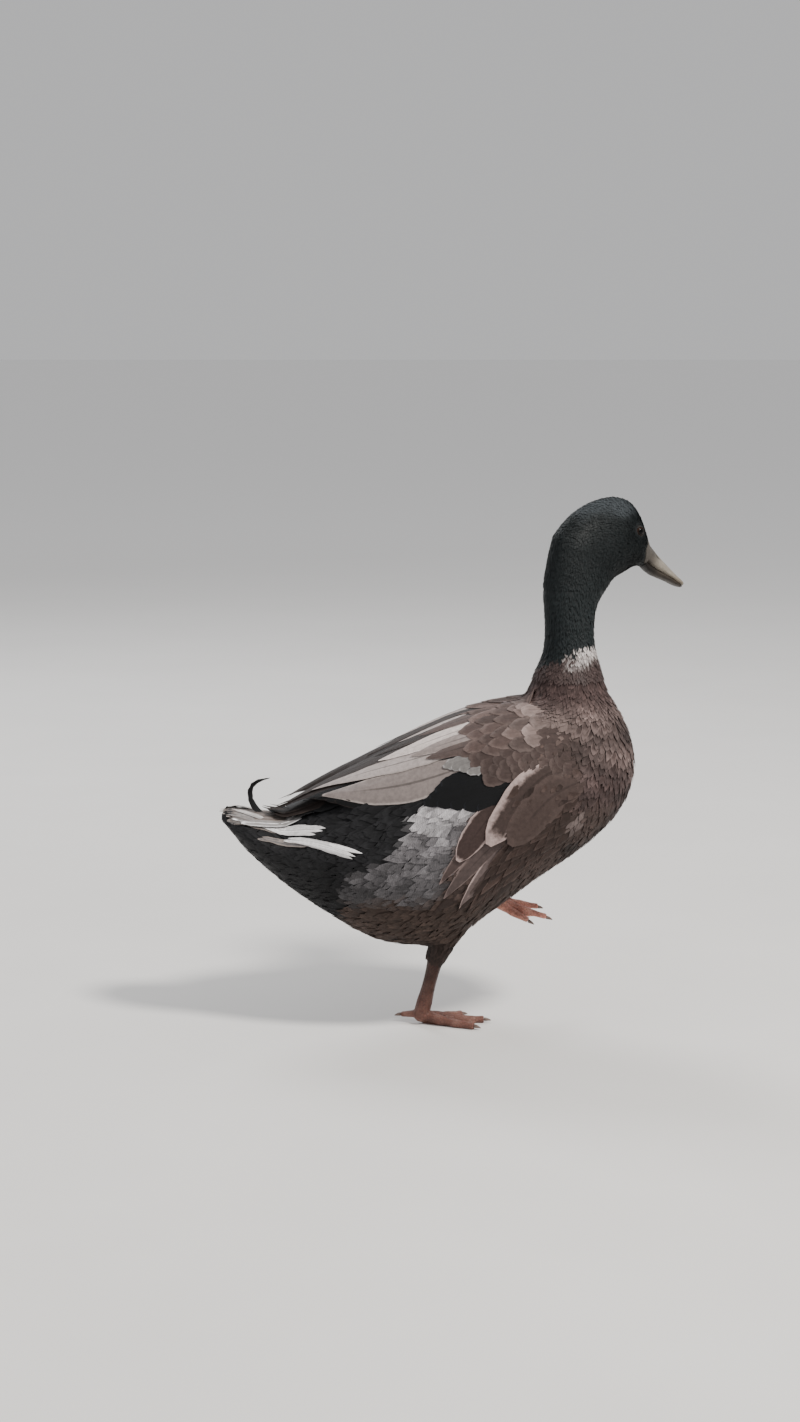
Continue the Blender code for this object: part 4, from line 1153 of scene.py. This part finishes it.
# The streaks down the sides of the tail, each of a few narrow feathers side by side.
TAIL_STREAKS = (
    ((-12.6, 68), (-17.4, 53), 0.48, (0.1, 0.6), (0.15, 0.14, 0.14), TAIL_GREY_EDGE),
    ((-14.4, 46), (-20.9, 24), 0.55, (0.1, 0.8), (0.19, 0.178, 0.175), TAIL_GREY_EDGE),
    ((-14.9, 27), (-19.8, 9.0), 0.7, (1.5, 2.4), (0.52, 0.49, 0.475), (0.36, 0.34, 0.33)),
    ((-14.9, 36), (-20.4, 16), 0.56, (0.6, 1.6), (0.24, 0.23, 0.23), TAIL_GREY_EDGE),
    ((-11.6, 58), (-17.0, 37.0), 0.56, (0.2, 1.3), TAIL_WHITE, TAIL_WHITE_EDGE),
    ((-8.4, 85.5), (-15.2, 58.5), 0.54, (0.2, 1.3), TAIL_WHITE, TAIL_WHITE_EDGE),
)
tail_feathers = Plumes(streak_vane)
for side in (1, -1):
    for root, tip, half, rise, ground, fringe in TAIL_STREAKS:
        for k in rng.permutation(5) - 2:
            start = (root[0] - 0.45 * abs(k) + rng.normal(0, 0.3), root[1] + 2.8 * half * k)
            end = (tip[0] + rng.normal(0, 0.35), tip[1] + 1.8 * half * k)
            heights = (rise[0], rise[1] + rng.uniform(-0.2, 0.3))
            tail_feathers.add(
                side, start, end, 0.45 * half, heights, ground, fringe, rim=0.5, vary=0.14, settle=0.9,
                over=under_wings, ragged=0.1,
            )
tail_piece = tail_feathers.piece("tail_feathers", "grey_wing_plumage")
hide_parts("tail")
# The curled feather: x and z of its centre line, its half width in metres, and how far it is rolled over.
CURL_LINE = [(-16.9, 19.1), (-17.55, 19.47), (-18.4, 20.3), (-18.75, 21.6), (-18.2, 22.5), (-16.9, 22.85)]
CURL_HALF, CURL_TWIST, SIDEWAYS = 0.0037, math.radians(38), np.array((0.0, 1.0, 0.0))
curl_vane = Vane(20, 5, [(0, 0.35), (0.3, 1.0), (0.7, 0.9), (0.9, 0.55), (1, 0.1)])
line = np.array([place(x, 0, z) for x, z in CURL_LINE])
for _ in range(3):  # corners cut, so that the line runs smooth
    cuts = np.stack([mixed(line[:-1], line[1:], 0.25), mixed(line[:-1], line[1:], 0.75)], axis=1)
    line = np.concatenate([line[:1], cuts.reshape(-1, 3), line[-1:]])
reached = np.concatenate([[0], np.cumsum(np.linalg.norm(np.diff(line, axis=0), axis=1))])
wanted = curl_vane.v * reached[-1]
curl_centres = np.stack([np.interp(wanted, reached, line[:, axis]) for axis in range(3)], axis=1)
curl_headings = unit(np.gradient(curl_centres, axis=0))
curl_normals = np.cross(np.tile(SIDEWAYS, (len(curl_centres), 1)), curl_headings)
curl_normals = unit(curl_normals * math.cos(CURL_TWIST) - SIDEWAYS * math.sin(CURL_TWIST))
curl_points = vane_points(
    curl_vane, curl_centres[:, None], curl_normals[:, None], curl_headings[:, None], np.array([CURL_HALF]),
    np.zeros((len(curl_centres), 1)), camber=0.25,
)
curl = feather_piece(
    "curled_feather", curl_vane, curl_points, np.array([[-17.5, 0, 19.5]]), "black_plumage",
    ground=[RUMP_BLACK], fringe=[RUMP_EDGE], barred=0.0, rim=0.2, tip=0.05,
)
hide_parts("tail_curl")

# ------------------------------------------------------------------------------------------ bill
# The bill: two horny halves, olive-grey and a little worn, with slit nostrils near the root and a
# harder nail at the tip. The upper one's skin runs on over the front of the face, to the feathers' edge.
BILL_AXIS, BILL_UP = Vector((0.69, 0, -0.72)), Vector((0.72, 0, 0.69))  # the head looking straight ahead
LOWER_ROOT_REACH = 0.0022  # the lower half runs this far back under the skin of the chin
HORN_GROWTH, TUCK, CLOSED_BY = {"bill_upper": 0.0005, "bill_lower": 0.0011}, 0.0018, 0.0007
FACE_CUT = (16.95, 0, 43.6)  # the head's own surface is kept ahead of a slanted plane through here
FACE_AHEAD, FACE_GROWTH, BILL_VOXEL = HEAD_SWING @ Vector((0.92, 0, -0.39)), 0.0002, 0.00045
# The nostril's place and half sizes in centimetres, then its depth and the nail's rise in metres.
NOSTRIL, SLIT_LENGTH, SLIT_WIDTH, SLIT_DEPTH, NAIL_RISE = (18.85, 0, 42.72), 0.26, 0.1, 0.0011, 0.00025
# The root of the bill is painted darker as painted shade where it meets the face, and the lower half darker
# as painted shade under the upper half.
BILL_ROOT_SHADE, BILL_MIDDLE, BILL_TIP = (0.046, 0.040, 0.034), (0.225, 0.200, 0.165), (0.185, 0.156, 0.119)
NAIL, LOWER_HALF_SHADE = (0.10, 0.08, 0.062), (0.15, 0.13, 0.12)
horn_bill, bill_shader, wire = material(
    "horn_bill", roughness=0.5, specular_ior_level=0.22, coat_weight=0.04, coat_roughness=0.3
)
mottle = wire.noise(wire.where(), 220.0, 5.0, 0.65)
fine = wire.noise(wire.where(), 1400.0, 3.0)
plug(
    bill_shader,
    base_color=wire.layer("ground", "Color").darker(mottle.between(0.25, 0.75) * 0.4 + 0.72),
    roughness=0.62 - mottle * 0.2,
    normal=wire.bump(fine * 0.5 + mottle, 0.35, 0.0004),
)
for node in ("bill_upper", "bill_lower"):
    horn_copies = [solid_copy(node, grow=HORN_GROWTH[node])]
    reach = ahead_measured(measured([v.co for v in horn_copies[0].verts])) @ np.array(BILL_AXIS)
    if node == "bill_upper":  # the front of the face goes with it
        horn_copies.append(solid_copy("head", turned(*FACE_CUT), FACE_AHEAD, grow=FACE_GROWTH))
    shape = melt_together(horn_copies, BILL_VOXEL)
    soften(shape, 5)
    cm = measured([v.co for v in shape.verts])
    tuck = TUCK * (1 - ease(bare_face(cm), 0.2, 0.5))
    cm = ahead_measured(cm)
    out = np.clip((cm @ np.array(BILL_AXIS) - reach.min()) / (reach.max() - reach.min()), 0, 1)
    if node == "bill_upper":
        along, above = ((cm - np.array(NOSTRIL)) @ np.array(axis) for axis in (BILL_AXIS, BILL_UP))
        slit = np.exp(-((along / SLIT_LENGTH) ** 2) - (above / SLIT_WIDTH) ** 2)
        slit *= ease(np.abs(cm[:, 1]), 0.1, 0.3)
        nail = ease(out, 0.86, 0.9) * (1 - ease(np.abs(cm[:, 1]), 0.32, 0.42))
        push_out(shape.verts, NAIL_RISE * nail - SLIT_DEPTH * slit - tuck)
    else:
        nail = slit = np.zeros(len(cm))
        for vertex, share in zip(shape.verts, ease(-out, -0.07, -0.01)):
            vertex.co -= (HEAD_SWING @ BILL_AXIS) * (LOWER_ROOT_REACH * share)
            vertex.co += (HEAD_SWING @ BILL_UP) * CLOSED_BY
    # Painted shade: the bill grows darker towards its root.
    root_share, tip_share = (1 - ease(out, 0.15, 0.44))[:, None], ease(out, 0.6, 0.9)[:, None]
    tone = mixed(mixed(BILL_MIDDLE, BILL_TIP, tip_share), BILL_ROOT_SHADE, root_share * 0.9)
    tone = mixed(tone, NAIL, nail[:, None] * 0.7)
    # The lower half is darkened all over as painted shade under the upper one.
    if node == "bill_lower":
        tone = tone * np.array(LOWER_HALF_SHADE)
    half = stood(f"horn_{node}", mesh_of(shape, node, smooth=True))
    # The nostril slits are painted dark as painted shade in their hollows.
    lay_on(half.data, "ground", tone * (1 - 0.85 * np.clip(slit * 1.4, 0, 1)[:, None]))
    half.data.materials.append(horn_bill)
    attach(half, "root")
    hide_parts(node)

# ------------------------------------------------------------------------------------------ eyes
# Dark brown eyes behind a clear wet front, each with a round black pupil: whole balls, that the lids of
# the skin hold all round.
wet_eye, eye_shader, wire = material(
    "wet_eye", roughness=0.2, specular_ior_level=0.08, coat_weight=0.05, coat_roughness=0.04
)
IRIS = [  # from the rim of the ball to the pupil
    (0.0, (0.004, 0.003, 0.003)), (0.45, (0.008, 0.005, 0.004)), (0.58, (0.030, 0.014, 0.009)),
    (0.78, (0.020, 0.010, 0.007)), (0.82, (0.0015, 0.0015, 0.0015)),
]
EYE_PLAY = 0.00005  # between ball and lids
streaks = wire.noise(wire.where(), 900.0, 3.0)
iris = wire.node("ValToRGB", {0: wire.layer("gaze") + (streaks - 0.5) * 0.05}, stops=IRIS)
plug(eye_shader, base_color=iris)
for side_name, centre in EYE_CM.items():
    ball = bmesh.new()
    bmesh.ops.create_uvsphere(ball, u_segments=40, v_segments=24, radius=EYE_RADIUS - EYE_PLAY)
    bmesh.ops.transform(ball, matrix=eye_facing(side_name), verts=ball.verts)
    axis = eye_facing(side_name) @ Vector((0, 0, 1))
    gazes = [vertex.co.normalized().dot(axis) for vertex in ball.verts]
    bmesh.ops.translate(ball, vec=turned(*centre), verts=ball.verts)
    eyeball = stood(f"eyeball_{side_name}", mesh_of(ball, f"eyeball_{side_name}", smooth=True))
    lay_on(eyeball.data, "gaze", gazes)
    eyeball.data.materials.append(wet_eye)
    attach(eyeball, "root")
    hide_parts(f"eye_{side_name}")

# ------------------------------------------------------------------------------------------ claws
# Short blunt horn claws, one at the end of each toe, dark grey and paler where they are worn. Each is
# the solid claw with its edges rounded.
CLAW_TONES = [(0.3, (0.085, 0.055, 0.044)), (0.7, (0.19, 0.13, 0.105))]
horn_claw, claw_shader, wire = material("horn_claw", roughness=0.42)
growth = wire.noise(wire.where(), 800.0, 4.0)
claw_colour = wire.node("ValToRGB", {0: growth}, stops=CLAW_TONES)
plug(claw_shader, base_color=claw_colour, normal=wire.bump(growth, 0.3, 0.0003))
TOE_NAMES = ("inner", "middle", "outer", "hind")
for side_name in ("left", "right"):
    claws = bmesh.new()
    for toe in TOE_NAMES:
        claws.from_mesh(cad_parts[f"claw_{toe}_{side_name}"].data)
    bmesh.ops.remove_doubles(claws, verts=claws.verts, dist=WELD)
    bmesh.ops.join_triangles(claws, faces=claws.faces, angle_face_threshold=0.9, angle_shape_threshold=1.2)
    piece = stood(f"claws_{side_name}", mesh_of(claws, f"claws_{side_name}", smooth=True))
    piece.data.materials.append(horn_claw)
    rounding = piece.modifiers.new("rounding", "SUBSURF")
    rounding.levels = rounding.render_levels = 2
    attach(piece, "root")
    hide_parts(*[f"claw_{toe}_{side_name}" for toe in TOE_NAMES])
